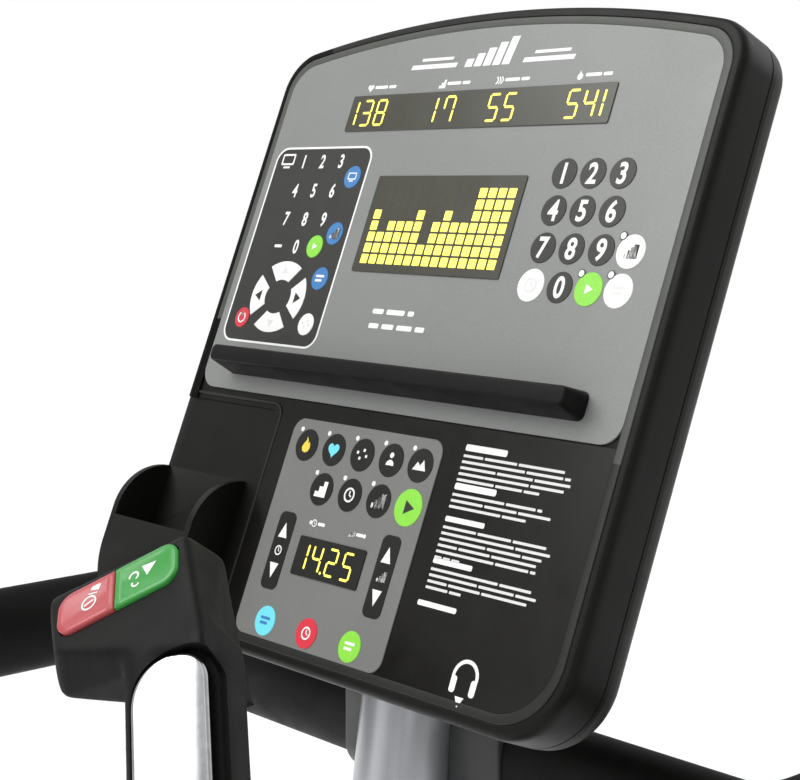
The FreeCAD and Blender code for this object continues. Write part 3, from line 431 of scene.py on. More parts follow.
def softened(node, width, material=None, angle=32.0, segments=2):
    """A copy of a CAD node with its edges rounded, which stands for the node."""
    source = NODES[node]
    mesh = source.data.copy()
    mesh.materials.clear()
    work = bmesh.new()
    work.from_mesh(mesh)
    bmesh.ops.remove_doubles(work, verts=work.verts, dist=2e-6)
    bmesh.ops.dissolve_limit(work, angle_limit=math.radians(1.0), verts=work.verts,
                             edges=work.edges)
    sharp = [e for e in work.edges if e.is_manifold
             and e.calc_face_angle(0) > math.radians(angle)]
    for layer in list(work.loops.layers.uv):
        work.loops.layers.uv.remove(layer)
    bmesh.ops.bevel(work, geom=sharp, offset=width * MM, segments=segments, profile=0.6,
                    affect="EDGES", clamp_overlap=True, miter_outer="ARC")
    work.to_mesh(mesh)
    work.free()
    slot = SLOT_OF[node]
    obj = finish_object(node + "_shape", mesh, BODY_OF[node],
                        [material or MATERIALS[slot]], 30)
    mesh.polygons.foreach_set("material_index", [0] * len(mesh.polygons))
    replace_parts(obj, node)


for cad_name, cad_node in NODES.items():
    cad_node.data.materials.clear()
    cad_node.data.materials.append(MATERIALS[SLOT_OF[cad_name]])


# ---------------------------------------------------------------- console shell
HALF, TOP, ARC_R = 218.5, 469.0, 957.0
TOP_R, BOTTOM_R = 32.0, 48.0
SEAM_U, RECESS_V, RECESS_U = 175.0, 169.0, -106.0


def console_outline(inset):
    """The console's outline drawn in by inset, from the middle of the lower edge to the right,
    over the top and back. Outlines of every inset match point for point."""
    half, radius = HALF - inset, ARC_R - inset
    top_r, low_r = TOP_R - 0.6 * inset, BOTTOM_R - 0.6 * inset
    centre = TOP - ARC_R
    corner_v = centre + math.sqrt((radius - top_r) ** 2 - (half - top_r) ** 2)
    lean = math.degrees(math.asin((half - top_r) / (radius - top_r)))
    right = [(u, inset) for u in (0, 30, 60, 90, 106, 130, 150)]
    right += arc(half - low_r, inset + low_r, low_r, -90, 0, 20)
    right += [(half, v) for v in (90, 130, 169, 210, 231, 260, 310, 360, 400)]
    right += arc(half - top_r, corner_v, top_r, 0, 90 - lean, 16)
    top = arc(0, centre, radius, 90 - lean, 90, 30)
    right += top[1:]
    left = [(-u, v) for u, v in reversed(right[1:-1])]
    return right + left


OUTLINE = console_outline(0)
POINTS = len(OUTLINE)


def nearest(u, v):
    return min(range(POINTS), key=lambda i: math.hypot(OUTLINE[i][0] - u, OUTLINE[i][1] - v))


def rim_sweep(build, section, mat, start=None, end=None):
    """Sweeps a closed section of (inset, n) points round the outline, or from start to end."""
    outlines = [console_outline(inset) for inset, n in section]
    if start is None:
        steps, loop = range(POINTS), True
    else:
        count = (end - start) % POINTS
        steps, loop = [(start + k) % POINTS for k in range(count + 1)], False
    rings = [[(*outlines[s][k], n) for s, (inset, n) in enumerate(section)] for k in steps]
    build.loft(rings, mat, loop=loop)


TOP_SEAM = nearest(SEAM_U, 452)
TOP_SEAM_LEFT = POINTS - TOP_SEAM
LOW_SEAM = nearest(SEAM_U, 1)
LOW_LEFT = nearest(RECESS_U, 0)
SIDE_LEFT = nearest(-HALF, RECESS_V)
SIDE_RIGHT = nearest(HALF, RECESS_V)
RING_LEFT = nearest(-HALF, 231)             # the grey of the ring ends here on the left; below it the ring is in painted shade
SHELL = MATERIALS["console_black"]
BEZEL = MATERIALS["bezel_black"]
# A darker copy of the bezel colour: painted shade for the lower part of the face ring. The lip by the
# sunken field takes it as well.
BEZEL_LOW_PAINTED_SHADE = moulded("bezel_low_painted_shade", linear(34, 36, 32), 0.36, 0.0005, 0.12, 0.06, 0.3)
# A darker copy of the console black: painted shade on the left side trim and on the left side of the
# face ring.
TRIM_PAINTED_SHADE = moulded("trim_painted_shade", linear(10, 11, 9), 0.5, vary=0.08, specular=0.05)
# A darker copy of the console black for the reading shelf: painted shade for its underside.
SHELF_PAINTED_SHADE = moulded("shelf_painted_shade", linear(12, 14, 11), 0.42, vary=0.08, specular=0.15)
FACE_RING = [(14.2, -2.5), (14.2, -0.5), (13.7, 0.1), (13.0, 0.25), (8.6, -0.1), (8.1, -0.5),
             (8.0, -1.5), (8.0, -2.5)]
OUTER_RING = [(12.0, -3.2), (7.9, -3.2), (7.8, -0.6), (7.4, -0.35), (4.2, -0.5), (2.4, -1.3),
              (1.0, -3.0), (0.25, -5.6), (0, -9.0), (0, -29.6), (0.25, -30.0), (12.0, -30.0)]
REAR_STRIP = [(12.0, -30.5), (0.3, -30.5), (0, -30.9), (0, -33.9), (12.0, -33.9)]
RECESS_SHOWN = -2.6                         # the sunken field's level
LOW_WALL = [(13.2, -9.0), (13.2, RECESS_SHOWN), (3.2, RECESS_SHOWN), (1.6, -3.2), (0.6, -4.6),
            (0, -7.0), (0, -29.6), (0.25, -30.0), (13.2, -30.0)]


def build_console_shell():
    shell = Build(CONSOLE)
    # The face ring takes three colours: the bezel grey on its upper part, and painted shade on its lower
    # part and down the left side below v=231.
    rim_sweep(shell, FACE_RING, BEZEL_LOW_PAINTED_SHADE, LOW_LEFT, SIDE_RIGHT)
    rim_sweep(shell, FACE_RING, BEZEL, SIDE_RIGHT, RING_LEFT)
    rim_sweep(shell, FACE_RING, TRIM_PAINTED_SHADE, RING_LEFT, SIDE_LEFT)
    rim_sweep(shell, OUTER_RING, SHELL, TOP_SEAM, TOP_SEAM_LEFT)
    rim_sweep(shell, OUTER_RING, SHELL, LOW_LEFT, LOW_SEAM)
    rim_sweep(shell, LOW_WALL, SHELL, SIDE_LEFT, LOW_LEFT)
    rim_sweep(shell, REAR_STRIP, SHELL)
    # the plate behind the printed panels, the frame round them and the sunken field at the left
    inner = console_outline(13.0)
    shell.prism(inner, -10.5, -7.0, MATERIALS["console_cover"])
    sunken = [inner[(SIDE_LEFT + k) % POINTS] for k in range((LOW_LEFT - SIDE_LEFT) % POINTS + 1)]
    sunken += [(RECESS_U + 2, 13), (RECESS_U + 2, RECESS_V + 2), (13 - HALF, RECESS_V + 2)]
    shell.prism(sunken, -7.2, RECESS_SHOWN, SHELL)
    field = [inner[(LOW_LEFT + k) % POINTS] for k in range((SIDE_LEFT - LOW_LEFT) % POINTS + 1)]
    field += [(RECESS_U - 8, RECESS_V)] + arc(RECESS_U - 8, RECESS_V - 8, 8, 90, 0, 6)
    shell.prism(field, -7.2, -1.6, SHELL)
    # a slim raised lip follows the sunken field's edge
    lip = [(-HALF + 14, RECESS_V + 3.5)] + arc(RECESS_U - 6, RECESS_V - 6.5, 10, 90, 0, 8)
    lip += [(RECESS_U + 4, 14.5)]
    shell.prism(band([(p[0], p[1] + 1) for p in lip], 2.0), -2.0, -0.5, BEZEL_LOW_PAINTED_SHADE, 0.4)
    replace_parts(shell.object("console_shell", "frame", "console_black", 28), "console_housing")


def build_trims():
    for side, sign in SIDES:
        trim = Build(CONSOLE)
        # the right trim takes the console's own black, the left one the darker copy that paints its
        # shade
        if sign > 0:
            rim_sweep(trim, OUTER_RING, SHELL, LOW_SEAM, TOP_SEAM)
        else:
            rim_sweep(trim, OUTER_RING, TRIM_PAINTED_SHADE, TOP_SEAM_LEFT, SIDE_LEFT)
        piece = trim.object(f"side_trim_{side}", "frame", "console_black", 28)
        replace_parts(piece, f"console_trim_{side}")


build_console_shell()
build_trims()

# ---------------------------------------------------------------- printed panels
def console_plate(name, node, outline, low, high, mat, slot, edge=0.25):
    build = Build(CONSOLE)
    build.prism(outline, low, high, mat, edge)
    piece = build.object(name, "frame", slot, 30)
    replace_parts(piece, node)


def build_overlays():
    inset = 13.7
    ring = console_outline(inset)
    split = 178.6
    right = max(u for u, _ in ring)
    upper = [p for p in ring[:POINTS // 2 + 1] if p[1] > split + 16]
    upper += [p for p in ring[POINTS // 2 + 1:] if p[1] > split + 16]
    upper += arc(-right + 15, split + 15, 15, 180, 270, 8) + arc(right - 15, split + 15, 15, 270, 360, 8)
    console_plate("grey_overlay", "upper_panel", upper, -1.5, 0, MATERIALS["panel_grey"],
                  "panel_grey")
    half = POINTS // 2
    lower = [p for p in ring[:half] if p[1] < split - 2 and p[0] > 0]
    lower = [(RECESS_U + 6.5, inset), (0, inset)] + lower
    lower += [(right, split - 0.9), (RECESS_U + 6.5, split - 0.9)]
    console_plate("gloss_overlay", "lower_panel", lower, -1.5, 0, MATERIALS["panel_black"],
                  "panel_black")
    console_plate("key_overlay", "key_panel", rounded(-81.4, 68.5, 13.9, 166, 10), 0.02, 0.85,
                  MATERIALS["keypad_grey"], "keypad_grey")


def segment(build, x0, y0, x1, y1, stroke, low, mat):
    """One bar of a seven-segment digit, with pointed ends."""
    a, b = Vector((x0, y0)), Vector((x1, y1))
    along = (b - a).normalized()
    side = Vector((-along.y, along.x)) * stroke / 2
    tip = along * stroke * 0.45
    points = [a, a + tip - side, b - tip - side, b, b - tip + side, a + tip + side]
    build.prism([tuple(p) for p in points], low, low + 0.12, mat)


DIGITS = {"0": "abcdef", "1": "bc", "2": "abged", "3": "abgcd", "4": "fgbc", "5": "afgcd",
          "6": "afgedc", "7": "fabc", "8": "abcdefg", "9": "abfgcd"}


def seven_segment(build, digit, x, y, wide, tall, low, stroke=1.7):
    """A lit digit centred on (x, y). A one has both its bars in the middle of its own place."""
    w, h = wide / 2, tall / 2
    gap = 0.35
    bars = {"a": (-w, h, w, h), "g": (-w, 0, w, 0), "d": (-w, -h, w, -h), "f": (-w, 0, -w, h),
            "b": (w, 0, w, h), "e": (-w, -h, -w, 0), "c": (w, -h, w, 0)}
    for bar in DIGITS[digit]:
        x0, y0, x1, y1 = bars[bar]
        if digit == "1":
            x0 = x1 = 0
        dx, dy = (gap, 0) if y0 == y1 else (0, gap)
        segment(build, x + x0 + dx, y + y0 + dy, x + x1 - dx, y + y1 - dy, stroke, low, LED)


def numeral(build, text, x, y, height, mat, low, thick=0.12, bold=0.035, squeeze=0.86):
    """A printed digit as a thin plate, centred on (x, y)."""
    curve = bpy.data.curves.new("numeral", "FONT")
    curve.body = text
    curve.size = height / 0.73
    curve.offset = bold * height
    curve.resolution_u = 5
    curve.extrude = thick / 2
    holder = bpy.data.objects.new("numeral", curve)
    bpy.context.scene.collection.objects.link(holder)
    mesh = holder.evaluated_get(bpy.context.evaluated_depsgraph_get()).to_mesh()
    xs = [v.co.x for v in mesh.vertices]
    ys = [v.co.y for v in mesh.vertices]
    cx, cy = (min(xs) + max(xs)) / 2, (min(ys) + max(ys)) / 2
    verts = [(x + (v.co.x - cx) * squeeze, y + v.co.y - cy, low + thick / 2 + v.co.z)
             for v in mesh.vertices]
    build.add(verts, [list(f.vertices) for f in mesh.polygons], mat)
    holder.to_mesh_clear()
    bpy.data.objects.remove(holder)
    bpy.data.curves.remove(curve)


def bar(build, x, y, wide, tall, low, mat, thick=0.12):
    build.prism(rounded(x - wide / 2, x + wide / 2, y - tall / 2, y + tall / 2, tall * 0.3, 3),
                low, low + thick, mat)


def key(build, x, y, radius, low, mat, proud=0.5):
    """A membrane key: an embossed dome-edged disc."""
    build.prism(circle(x, y, radius, 40), low, low + proud, mat, 0.3)


def triangle(build, x, y, wide, tall, low, mat, up=True):
    sign = 1 if up else -1
    points = [(x - wide / 2, y - sign * tall / 2), (x + wide / 2, y - sign * tall / 2),
              (x, y + sign * tall / 2)]
    build.prism(points if up else points[::-1], low, low + 0.12, mat)


# Icons stand where the machine's words would be. Each is drawn about its own middle.
def icon_heart(b, x, y, s, low, mat):
    points = [(16 * math.sin(t) ** 3, 13 * math.cos(t) - 5 * math.cos(2 * t)
               - 2 * math.cos(3 * t) - math.cos(4 * t))
              for t in (-2 * math.pi * i / 36 for i in range(36))]
    b.prism([(x + px * s / 32, y + py * s / 32) for px, py in points], low, low + 0.12, mat)


def icon_stairs(b, x, y, s, low, mat):
    steps = [(-3, -3), (3, -3), (3, 3), (1, 3), (1, 1), (-1, 1), (-1, -1), (-3, -1)]
    b.prism([(x + px * s / 6, y + py * s / 6) for px, py in steps], low, low + 0.12, mat)


def icon_pace(b, x, y, s, low, mat):
    for k in (-1, 0, 1):
        path = [(x + (k - 0.5) * s * 0.36, y - s * 0.42), (x + (k + 0.35) * s * 0.36, y),
                (x + (k - 0.5) * s * 0.36, y + s * 0.42)]
        b.prism(band(path, s * 0.17), low, low + 0.12, mat)


def icon_flame(b, x, y, s, low, mat):
    points = [(0, -3), (1.6, -2.4), (2.3, -1), (2, 0.6), (1.1, 1.4), (0.8, 0.4), (0.5, 1.8),
              (-0.5, 3.2), (-0.6, 1.6), (-1.6, 0.4), (-2.2, -1), (-1.6, -2.4)]
    b.prism([(x + px * s / 6, y + py * s / 6) for px, py in points], low, low + 0.12, mat)


def icon_lines(b, x, y, s, low, mat):
    """Two short uneven bars in place of a word or two."""
    bar(b, x, y + s * 0.2, s * 1.0, s * 0.2, low, mat)
    bar(b, x - s * 0.08, y - s * 0.16, s * 0.8, s * 0.2, low, mat)


def icon_hills(b, x, y, s, low, mat):
    b.prism([(x - s * 0.55, y - s * 0.3), (x + s * 0.55, y - s * 0.3), (x + s * 0.25, y + s * 0.35),
             (x + s * 0.02, y - s * 0.02), (x - s * 0.22, y + s * 0.2)], low, low + 0.12, mat)


def icon_clock(b, x, y, s, low, mat):
    b.frame(circle(x, y, s * 0.46, 28), circle(x, y, s * 0.34, 28), low, low + 0.12, mat)
    b.prism(band([(x, y + s * 0.25), (x, y), (x + s * 0.18, y - s * 0.1)], s * 0.1), low,
            low + 0.12, mat)


def icon_person(b, x, y, s, low, mat):
    b.prism(circle(x, y + s * 0.3, s * 0.17, 20), low, low + 0.12, mat)
    b.prism(arc(x, y - s * 0.32, s * 0.34, 0, 180, 14), low, low + 0.12, mat)


def icon_bars(b, x, y, s, low, mat):
    for k, tall in enumerate((0.35, 0.55, 0.75, 0.95)):
        bar(b, x + (k - 1.5) * s * 0.27, y + (tall - 0.95) * s * 0.5, s * 0.17, s * tall, low, mat)


def icon_play(b, x, y, s, low, mat):
    b.prism([(x - s * 0.3, y - s * 0.38), (x + s * 0.42, y), (x - s * 0.3, y + s * 0.38)], low,
            low + 0.12, mat)


def icon_random(b, x, y, s, low, mat):
    for k, lift in enumerate((0.12, -0.22, 0.3, -0.05)):
        bar(b, x + (k - 1.5) * s * 0.27, y + lift * s, s * 0.19, s * 0.19, low, mat)


def icon_power(b, x, y, s, low, mat):
    b.prism(band(arc(x, y, s * 0.34, 120, 420, 24), s * 0.11), low, low + 0.12, mat)
    bar(b, x, y + s * 0.26, s * 0.11, s * 0.42, low, mat)


def icon_screen(b, x, y, s, low, mat):
    outer = rounded(x - s * 0.5, x + s * 0.5, y - s * 0.24, y + s * 0.36, s * 0.08, 3)
    inner = rounded(x - s * 0.4, x + s * 0.4, y - s * 0.14, y + s * 0.26, s * 0.05, 3)
    b.frame(outer, inner, low, low + 0.12, mat)
    bar(b, x, y - s * 0.36, s * 0.5, s * 0.1, low, mat)


def build_display():
    window = MATERIALS["smoked_window"]
    plates = Build(CONSOLE)
    plates.prism(rounded(-127, 127, 380.7, 408.7, 1.5, 3), 0.02, 0.9, window, 0.3)
    plates.prism(rounded(-72.3, 72.3, 274.6, 346, 1.5, 3), 0.02, 0.9, window, 0.3)
    plates.prism(rounded(-40, 27.5, 60.5, 87.2, 1.5, 3), 0.86, 1.7, KEY_BLACK, 0.3)
    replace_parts(plates.object("display_lenses", "frame", "smoked_window", 30), "display_windows")

    lamps = Build(CONSOLE)
    top = 0.92
    for digits, places in (("138", (-118.5, -107.5, -92.5)), ("17", (-34.5, -21.5)),
                           ("55", (21.5, 36.5)), ("541", (93.0, 107.5, 119.0))):
        for digit, x in zip(digits, places):
            seven_segment(lamps, digit, x, 394.7, 9.0, 19.0, top)
    rows, pitch_u, pitch_v = (5, 3, 4, 4, 4, 5, 2, 4, 5, 4, 4, 7, 7, 7, 7), 8.93, 8.25
    for column, lit_rows in enumerate(rows):
        for row in range(7):
            x, y = -61.9 + column * pitch_u, 284.0 + row * pitch_v
            cell = rounded(x - 3.5, x + 3.5, y - 3.35, y + 3.35, 0.5, 2)
            lamps.prism(cell, top, top + 0.12 if row < lit_rows else top + 0.03,
                        LED if row < lit_rows else window)
    for digit, x in zip("1425", (-27.5, -17.5, -2.0, 13.5)):
        seven_segment(lamps, digit, x, 73.8, 8.4, 17.5, 1.72, 1.6)
    lamps.prism(circle(-10.2, 65.6, 0.95, 16), 1.72, 1.84, LED)
    lamps.object("lit_digits", "frame", "smoked_window", 30)


def build_upper_print():
    b = Build(CONSOLE)
    low = 0.02
    for icon, x, y in ((icon_heart, -112, 414.8), (icon_stairs, -36, 414.6),
                       (icon_pace, 20, 414.8), (icon_flame, 92, 414.8)):
        icon(b, x, y, 6.4, low, WHITE)
        bar(b, x + 11.5, y + 0.2, 13.5, 2.4, low, WHITE)
        bar(b, x + 23.5, y + 0.2, 7.5, 2.4, low, WHITE)
    # an emblem of rising steps, with a rule on either side
    for k in range(5):
        x, tall = -16 + k * 9.0, 6 + k * 3.6
        b.prism([(x - 3.6, 426.5), (x + 3.6, 426.5), (x + 3.6 + tall * 0.18, 426.5 + tall),
                 (x - 3.6 + tall * 0.18, 426.5 + tall)], low, low + 0.12, WHITE)
    for x0, x1 in ((-74, -28), (36, 82)):
        b.prism([(x0, 427), (x1, 427), (x1 + 1, 430.4), (x0 + 1, 430.4)], low, low + 0.12, WHITE)
        b.prism([(x0 + 9, 433), (x1 - 5, 433), (x1 - 4.4, 435.2), (x0 + 9.6, 435.2)], low,
                low + 0.12, WHITE)
    # two lines of plain bars above the shelf
    for y, widths in ((247.0, (11, 18, 6)), (236.6, (10, 12, 15, 9))):
        x = -37.5
        for wide in widths:
            bar(b, x + wide / 2, y, wide, 3.6, low, WHITE)
            x += wide + 3.2
    # number pad
    pad = ("123", "456", "789")
    for row, y in zip(pad, (347.3, 322.3, 297.3)):
        for digit, x in zip(row, (102.8, 126.8, 151.0)):
            key(b, x, y, 10.3, low, KEY_DARK)
            numeral(b, digit, x, y, 14.2, WHITE, 0.54)
    key(b, 126.0, 272.0, 10.3, low, KEY_DARK)
    numeral(b, "0", 126.0, 272.0, 14.2, WHITE, 0.54)
    for x, y, mat in ((174.4, 297.0, WHITE), (173.2, 272.0, WHITE), (101.6, 272.3, WHITE),
                      (149.6, 271.9, GREEN_INK)):
        key(b, x, y, 11.0, low, mat)
        if y < 290 and x < 110:
            continue
        b.prism(circle(x - 8.6, y + 9.8, 2.9, 20), 0.5, 0.6, KEY_DARK)
        b.prism(circle(x - 8.6, y + 9.8, 2.2, 20), 0.6, 0.72, WHITE)
    icon_play(b, 149.9, 271.9, 8.5, 0.54, WHITE)
    icon_bars(b, 174.4, 297.0, 9.5, 0.54, GREY_INK)
    icon_lines(b, 173.2, 272.0, 9.5, 0.54, GREY_INK)
    icon_clock(b, 101.6, 272.3, 11, 0.54, GREY_INK)
    b.object("upper_print", "frame", "panel_grey", 30)


def build_television_pad():
    b = Build(CONSOLE)
    outer = rounded(-197.6, -87.4, 214.9, 369.3, 11.5, 8)
    b.frame(outer, rounded(-196.0, -89.0, 216.5, 367.7, 10, 8), 0.0, 0.16, WHITE)
    b.prism(rounded(-196.0, -89.0, 216.5, 367.7, 10, 8), 0.0, 0.1, KEY_DARK)
    low = 0.14
    icon_screen(b, -182.5, 358.6, 15, low, WHITE)
    for row, y in (("123", 357.6), ("456", 334.6), ("789", 312.2)):
        for digit, x in zip(row, (-163.2, -141.4, -120.0)):
            numeral(b, digit, x, y, 10.6, WHITE, low, squeeze=0.75)
    bar(b, -163.0, 290.6, 8.5, 2.2, low, WHITE)
    numeral(b, "0", -142.0, 290.6, 10.6, WHITE, low, squeeze=0.75)
    for x, y, icon in ((-102.2, 345.2, icon_screen), (-102.6, 301.8, icon_bars),
                       (-103.8, 267.4, icon_lines)):
        key(b, x, y, 8.6, low, BLUE_INK, 0.4)
        icon(b, x, y, 9, low + 0.42, WHITE)
    key(b, -120.6, 291.4, 8.6, low, GREEN_INK, 0.4)
    icon_play(b, -120.4, 291.4, 7, low + 0.42, WHITE)
    # four-way pad
    cx, cy = -145.0, 251.6
    for turn in range(4):
        start, end = 90 * turn - 35 + 90, 90 * turn + 35 + 90
        wedge = arc(cx, cy, 27.5, start, end, 14) + arc(cx, cy, 13.0, end - 6, start + 6, 10)
        wedge = [(cx + (px - cx) * 1.12, py) for px, py in wedge]
        b.prism(wedge, low, low + 0.4, WHITE, 0.25)
    for side in (-1, 1):
        pts = [(cx + side * 19.5, cy - 4.2), (cx + side * 26.5, cy), (cx + side * 19.5, cy + 4.2)]
        b.prism(pts if side > 0 else pts[::-1], low + 0.42, low + 0.5, KEY_DARK)
    for side in (-1, 1):
        triangle(b, cx, cy + side * 20.5, 7.0, 5.0, low + 0.42, GREY_INK, side > 0)
    key(b, -103.8, 232.8, 8.3, low, WHITE, 0.4)
    icon_random(b, -103.8, 232.8, 8.5, low + 0.42, GREY_INK)
    key(b, -179.4, 233.6, 7.8, low, RED_INK, 0.4)
    icon_power(b, -179.4, 233.6, 11, low + 0.42, WHITE)
    b.object("television_pad", "frame", "panel_black", 30)


def build_key_print():
    b = Build(CONSOLE)
    low = 0.87
    top = low + 0.54
    row_one = ((-62.2, icon_flame, YELLOW_INK), (-33.4, icon_heart, CYAN_INK),
               (-4.1, icon_random, WHITE), (24.5, icon_person, WHITE), (52.3, icon_hills, WHITE))
    row_two = ((-33.9, icon_stairs, WHITE), (-4.7, icon_clock, WHITE), (23.9, icon_bars, WHITE))
    for row, y in ((row_one, 147.7), (row_two, 120.0)):
        for x, icon, mat in row:
            key(b, x, y, 11.3, low, KEY_BLACK)
            icon(b, x, y, 11, top, mat)
            b.prism(circle(x - 9.2, y + 10.6, 1.7, 18), low, low + 0.2, WHITE)
    key(b, 52.6, 119.8, 12.4, low, GREEN_INK)
    icon_play(b, 53.2, 119.8, 12, top, KEY_DARK)
    for x, icon in ((-58.5, icon_clock), (47.0, icon_bars)):
        b.prism(rounded(x - 8.7, x + 8.7, 46.5, 100.5, 5, 6), low, low + 0.45, KEY_BLACK, 0.3)
        triangle(b, x, 87.6, 9, 10.5, low + 0.47, WHITE)
        triangle(b, x, 59.4, 9, 10.5, low + 0.47, WHITE, False)
        icon(b, x, 73.4, 7.5, low + 0.47, WHITE)
    for x, y, icon, dot in ((-27, 96.8, icon_clock, -34.6), (12.5, 95.8, icon_bars, 20.6)):
        icon(b, x - 4, y, 5.6, low, WHITE)
        bar(b, x + 3.4, y, 7, 2.2, low, WHITE)
        b.prism(circle(dot, y, 1.4, 16), low, low + 0.12, WHITE)
    for x, mat, icon, tone in ((-50.5, CYAN_INK, icon_lines, BLUE_INK),
                               (-6.7, RED_INK, icon_clock, WHITE),
                               (36.7, GREEN_INK, icon_lines, WHITE)):
        key(b, x, 25.7, 10.2, low, mat)
        icon(b, x, 25.7, 9.5, top, tone)
    b.object("key_print", "frame", "keypad_grey", 30)


def build_notice():
    """Plain bars in paragraphs where the machine carries small print, and the audio symbol."""
    b = Build(CONSOLE)
    low = 0.02
    paragraphs = ((164.4, 36, 4.2, (85, 91, 92, 83, 70)), (139.4, 36, 4.2, (76, 84, 62)),
                  (118.4, 34, 3.4, (87, 86, 86, 83, 84, 22)), (91.6, 34, 3.4, (80, 90, 84, 34)))
    for y, head, tall, lines in paragraphs:
        bar(b, 86.5 + head / 2, y, head, tall, low, WHITE)
        for k, wide in enumerate(lines):
            row = y - 5.4 - k * 3.85
            cut = 0.22 + 0.13 * ((k * 3 + len(lines)) % 5)
            gap = 1.5
            first = wide * cut
            for start, end in ((0, first - gap), (first, wide * (cut + 0.34) - gap),
                               (wide * (cut + 0.34), wide)):
                if end - start > 2:
                    bar(b, 86.5 + (start + end) / 2, row, end - start, 1.7, low, GREY_INK)
    bar(b, 100.5, 64.5, 34, 3.4, low, WHITE)
    # headphones
    b.prism(band(arc(139.5, 28.5, 9.6, -8, 188, 28), 2.4), low, low + 0.12, WHITE)
    for side in (-1, 1):
        x = 139.5 + side * 8.3
        b.prism(rounded(x - 2.4, x + 2.4, 18.2, 28.4, 2.0, 5), low, low + 0.14, WHITE)
    triangle(b, 139.2, 13.6, 7.4, 6.4, low, WHITE, False)
    b.object("notice_print", "frame", "panel_black", 30)


build_overlays()
build_display()
build_upper_print()
build_television_pad()
build_key_print()
build_notice()

# ---------------------------------------------------------------- hand grips, drawn right-handed
GRIP_FOOT, GRIP_TOP = Vector((356, -2, 1219)), Vector((252, 65, 1376))
GRIP_LENGTH = (GRIP_TOP - GRIP_FOOT).length
GRIP_FRONT = Vector((0.325, -0.773, 0.544))
GRIP_HALF_DEEP, GRIP_HALF_WIDE, GRIP_POWER = 20.0, 25.0, 3.6
PAD_CENTRE = Vector((213, 57, 1397))
PAD_ALONG, PAD_NORMAL = Vector((0.718, 0.507, 0.477)), Vector((0.020, -0.700, 0.715))
HEAD_FRONT = ((175, 45, 1386), (230, 80, 1419), (284, 51, 1388), (202, 32, 1372))
HEAD_BACK = ((169, 55, 1378), (224, 110, 1400), (264, 92, 1342), (196, 42, 1344))
HEAD_GROWTH = 1.04
HEAD_BROW = 4.0                            # the rim above the pad, past the front's own corners
BACK_ROUNDING, FRONT_ROUNDING = 9.0, 2.0
RAIL_OUTSIDE = 369.0
PAD_HALF, PAD_SPLIT, PAD_WIDE, PAD_R = 32.0, -1.0, 12.0, 8.0
SENSOR_HALF, SENSOR_LOW, SENSOR_HIGH = 17.6, 60.0, GRIP_LENGTH - 9.5
SENSOR_SHIFT = 1.4
SHOULDER_LEFT, SHOULDER_RIGHT = 20.0, 12.0  # radii of the sensor's two upper corners
POST_LEFT = 23.5                           # the post's half-width on its inner side
POST_BACK = 15.0                           # the post's half-depth behind, under the head
GROOVE_LEFT, GROOVE_RIGHT = 1.6, 5.0       # the groove round the sensor is wider on the outer side


def placed(origin, x_axis, z_axis):
    """From a frame with Z along z_axis and X nearest to x_axis, in millimetres, to the machine."""
    z = z_axis.normalized()
    y = z.cross(x_axis).normalized()
    turn = Matrix((y.cross(z), y, z)).transposed().to_4x4()
    return WORLD_MM @ Matrix.Translation(origin) @ turn


IN_GRIP = placed(GRIP_FOOT, GRIP_FRONT, GRIP_TOP - GRIP_FOOT)
IN_PAD = placed(PAD_CENTRE, PAD_ALONG, PAD_NORMAL)


def squarish(half_x, half_y, z, power, steps=56):
    """A ring on a superellipse."""
    ring = []
    for i in range(steps):
        c, s = math.cos(2 * math.pi * i / steps), math.sin(2 * math.pi * i / steps)
        ring.append((half_x * math.copysign(abs(c) ** (2 / power), c),
                     half_y * math.copysign(abs(s) ** (2 / power), s), z))
    return ring


def hull(points):
    """The closed skin round a few points, in metres."""
    work = bmesh.new()
    for p in points:
        work.verts.new(Vector(p) * MM)
    bmesh.ops.convex_hull(work, input=work.verts)
    bmesh.ops.recalc_face_normals(work, faces=work.faces)
    return work


def applied(mesh, name, settings):
    """The mesh after one modifier."""
    carrier = bpy.data.objects.new(name, mesh)
    bpy.context.scene.collection.objects.link(carrier)
    modifier = carrier.modifiers.new(name, settings.pop("type"))
    for key, value in settings.items():
        setattr(modifier, key, value)
    graph = bpy.context.evaluated_depsgraph_get()
    result = bpy.data.meshes.new_from_object(carrier.evaluated_get(graph))
    bpy.data.objects.remove(carrier)
    return result


def carve(mesh, cutter):
    """The mesh less the cutter, a Build."""
    tool = bpy.data.objects.new("cutter", cutter.mesh("cutter"))
    bpy.context.scene.collection.objects.link(tool)
    result = applied(mesh, "carve", {"type": "BOOLEAN", "object": tool, "operation": "DIFFERENCE",
                                     "solver": "EXACT"})
    bpy.data.objects.remove(tool)
    return result


def arch(left, right):
    """The sensor's outline across the post's front with a margin on each side, as (across, height),
    counterclockwise."""
    half, middle = SENSOR_HALF + (left + right) / 2, SENSOR_SHIFT + (right - left) / 2
    low, high = SENSOR_LOW - left, SENSOR_HIGH + left
    wide, tight = SHOULDER_LEFT + left, SHOULDER_RIGHT + left
    points = ([(-half + 3, low), (half - 3, low)] + arc(half - 3, low + 3, 3, -90, 0, 4)[1:]
              + arc(half - tight, high - tight, tight, 0, 90, 12)
              + arc(-half + wide, high - wide, wide, 90, 180, 18)
              + arc(-half + 3, low + 3, 3, 180, 270, 4)[:-1])
    return [(x + middle, y) for x, y in points]


def on_post(across, height, proud):
    """A point over the post's front at this distance from its surface."""
    x = GRIP_HALF_DEEP * (1 - min(1, abs(across) / GRIP_HALF_WIDE) ** GRIP_POWER) ** (1 / GRIP_POWER)
    slope = (abs(across) / GRIP_HALF_WIDE) ** (GRIP_POWER - 1) / GRIP_HALF_WIDE
    rise = (x / GRIP_HALF_DEEP) ** (GRIP_POWER - 1) / GRIP_HALF_DEEP
    size = math.hypot(slope, rise)
    return (x + proud * rise / size, across + proud * math.copysign(slope / size, across), height)


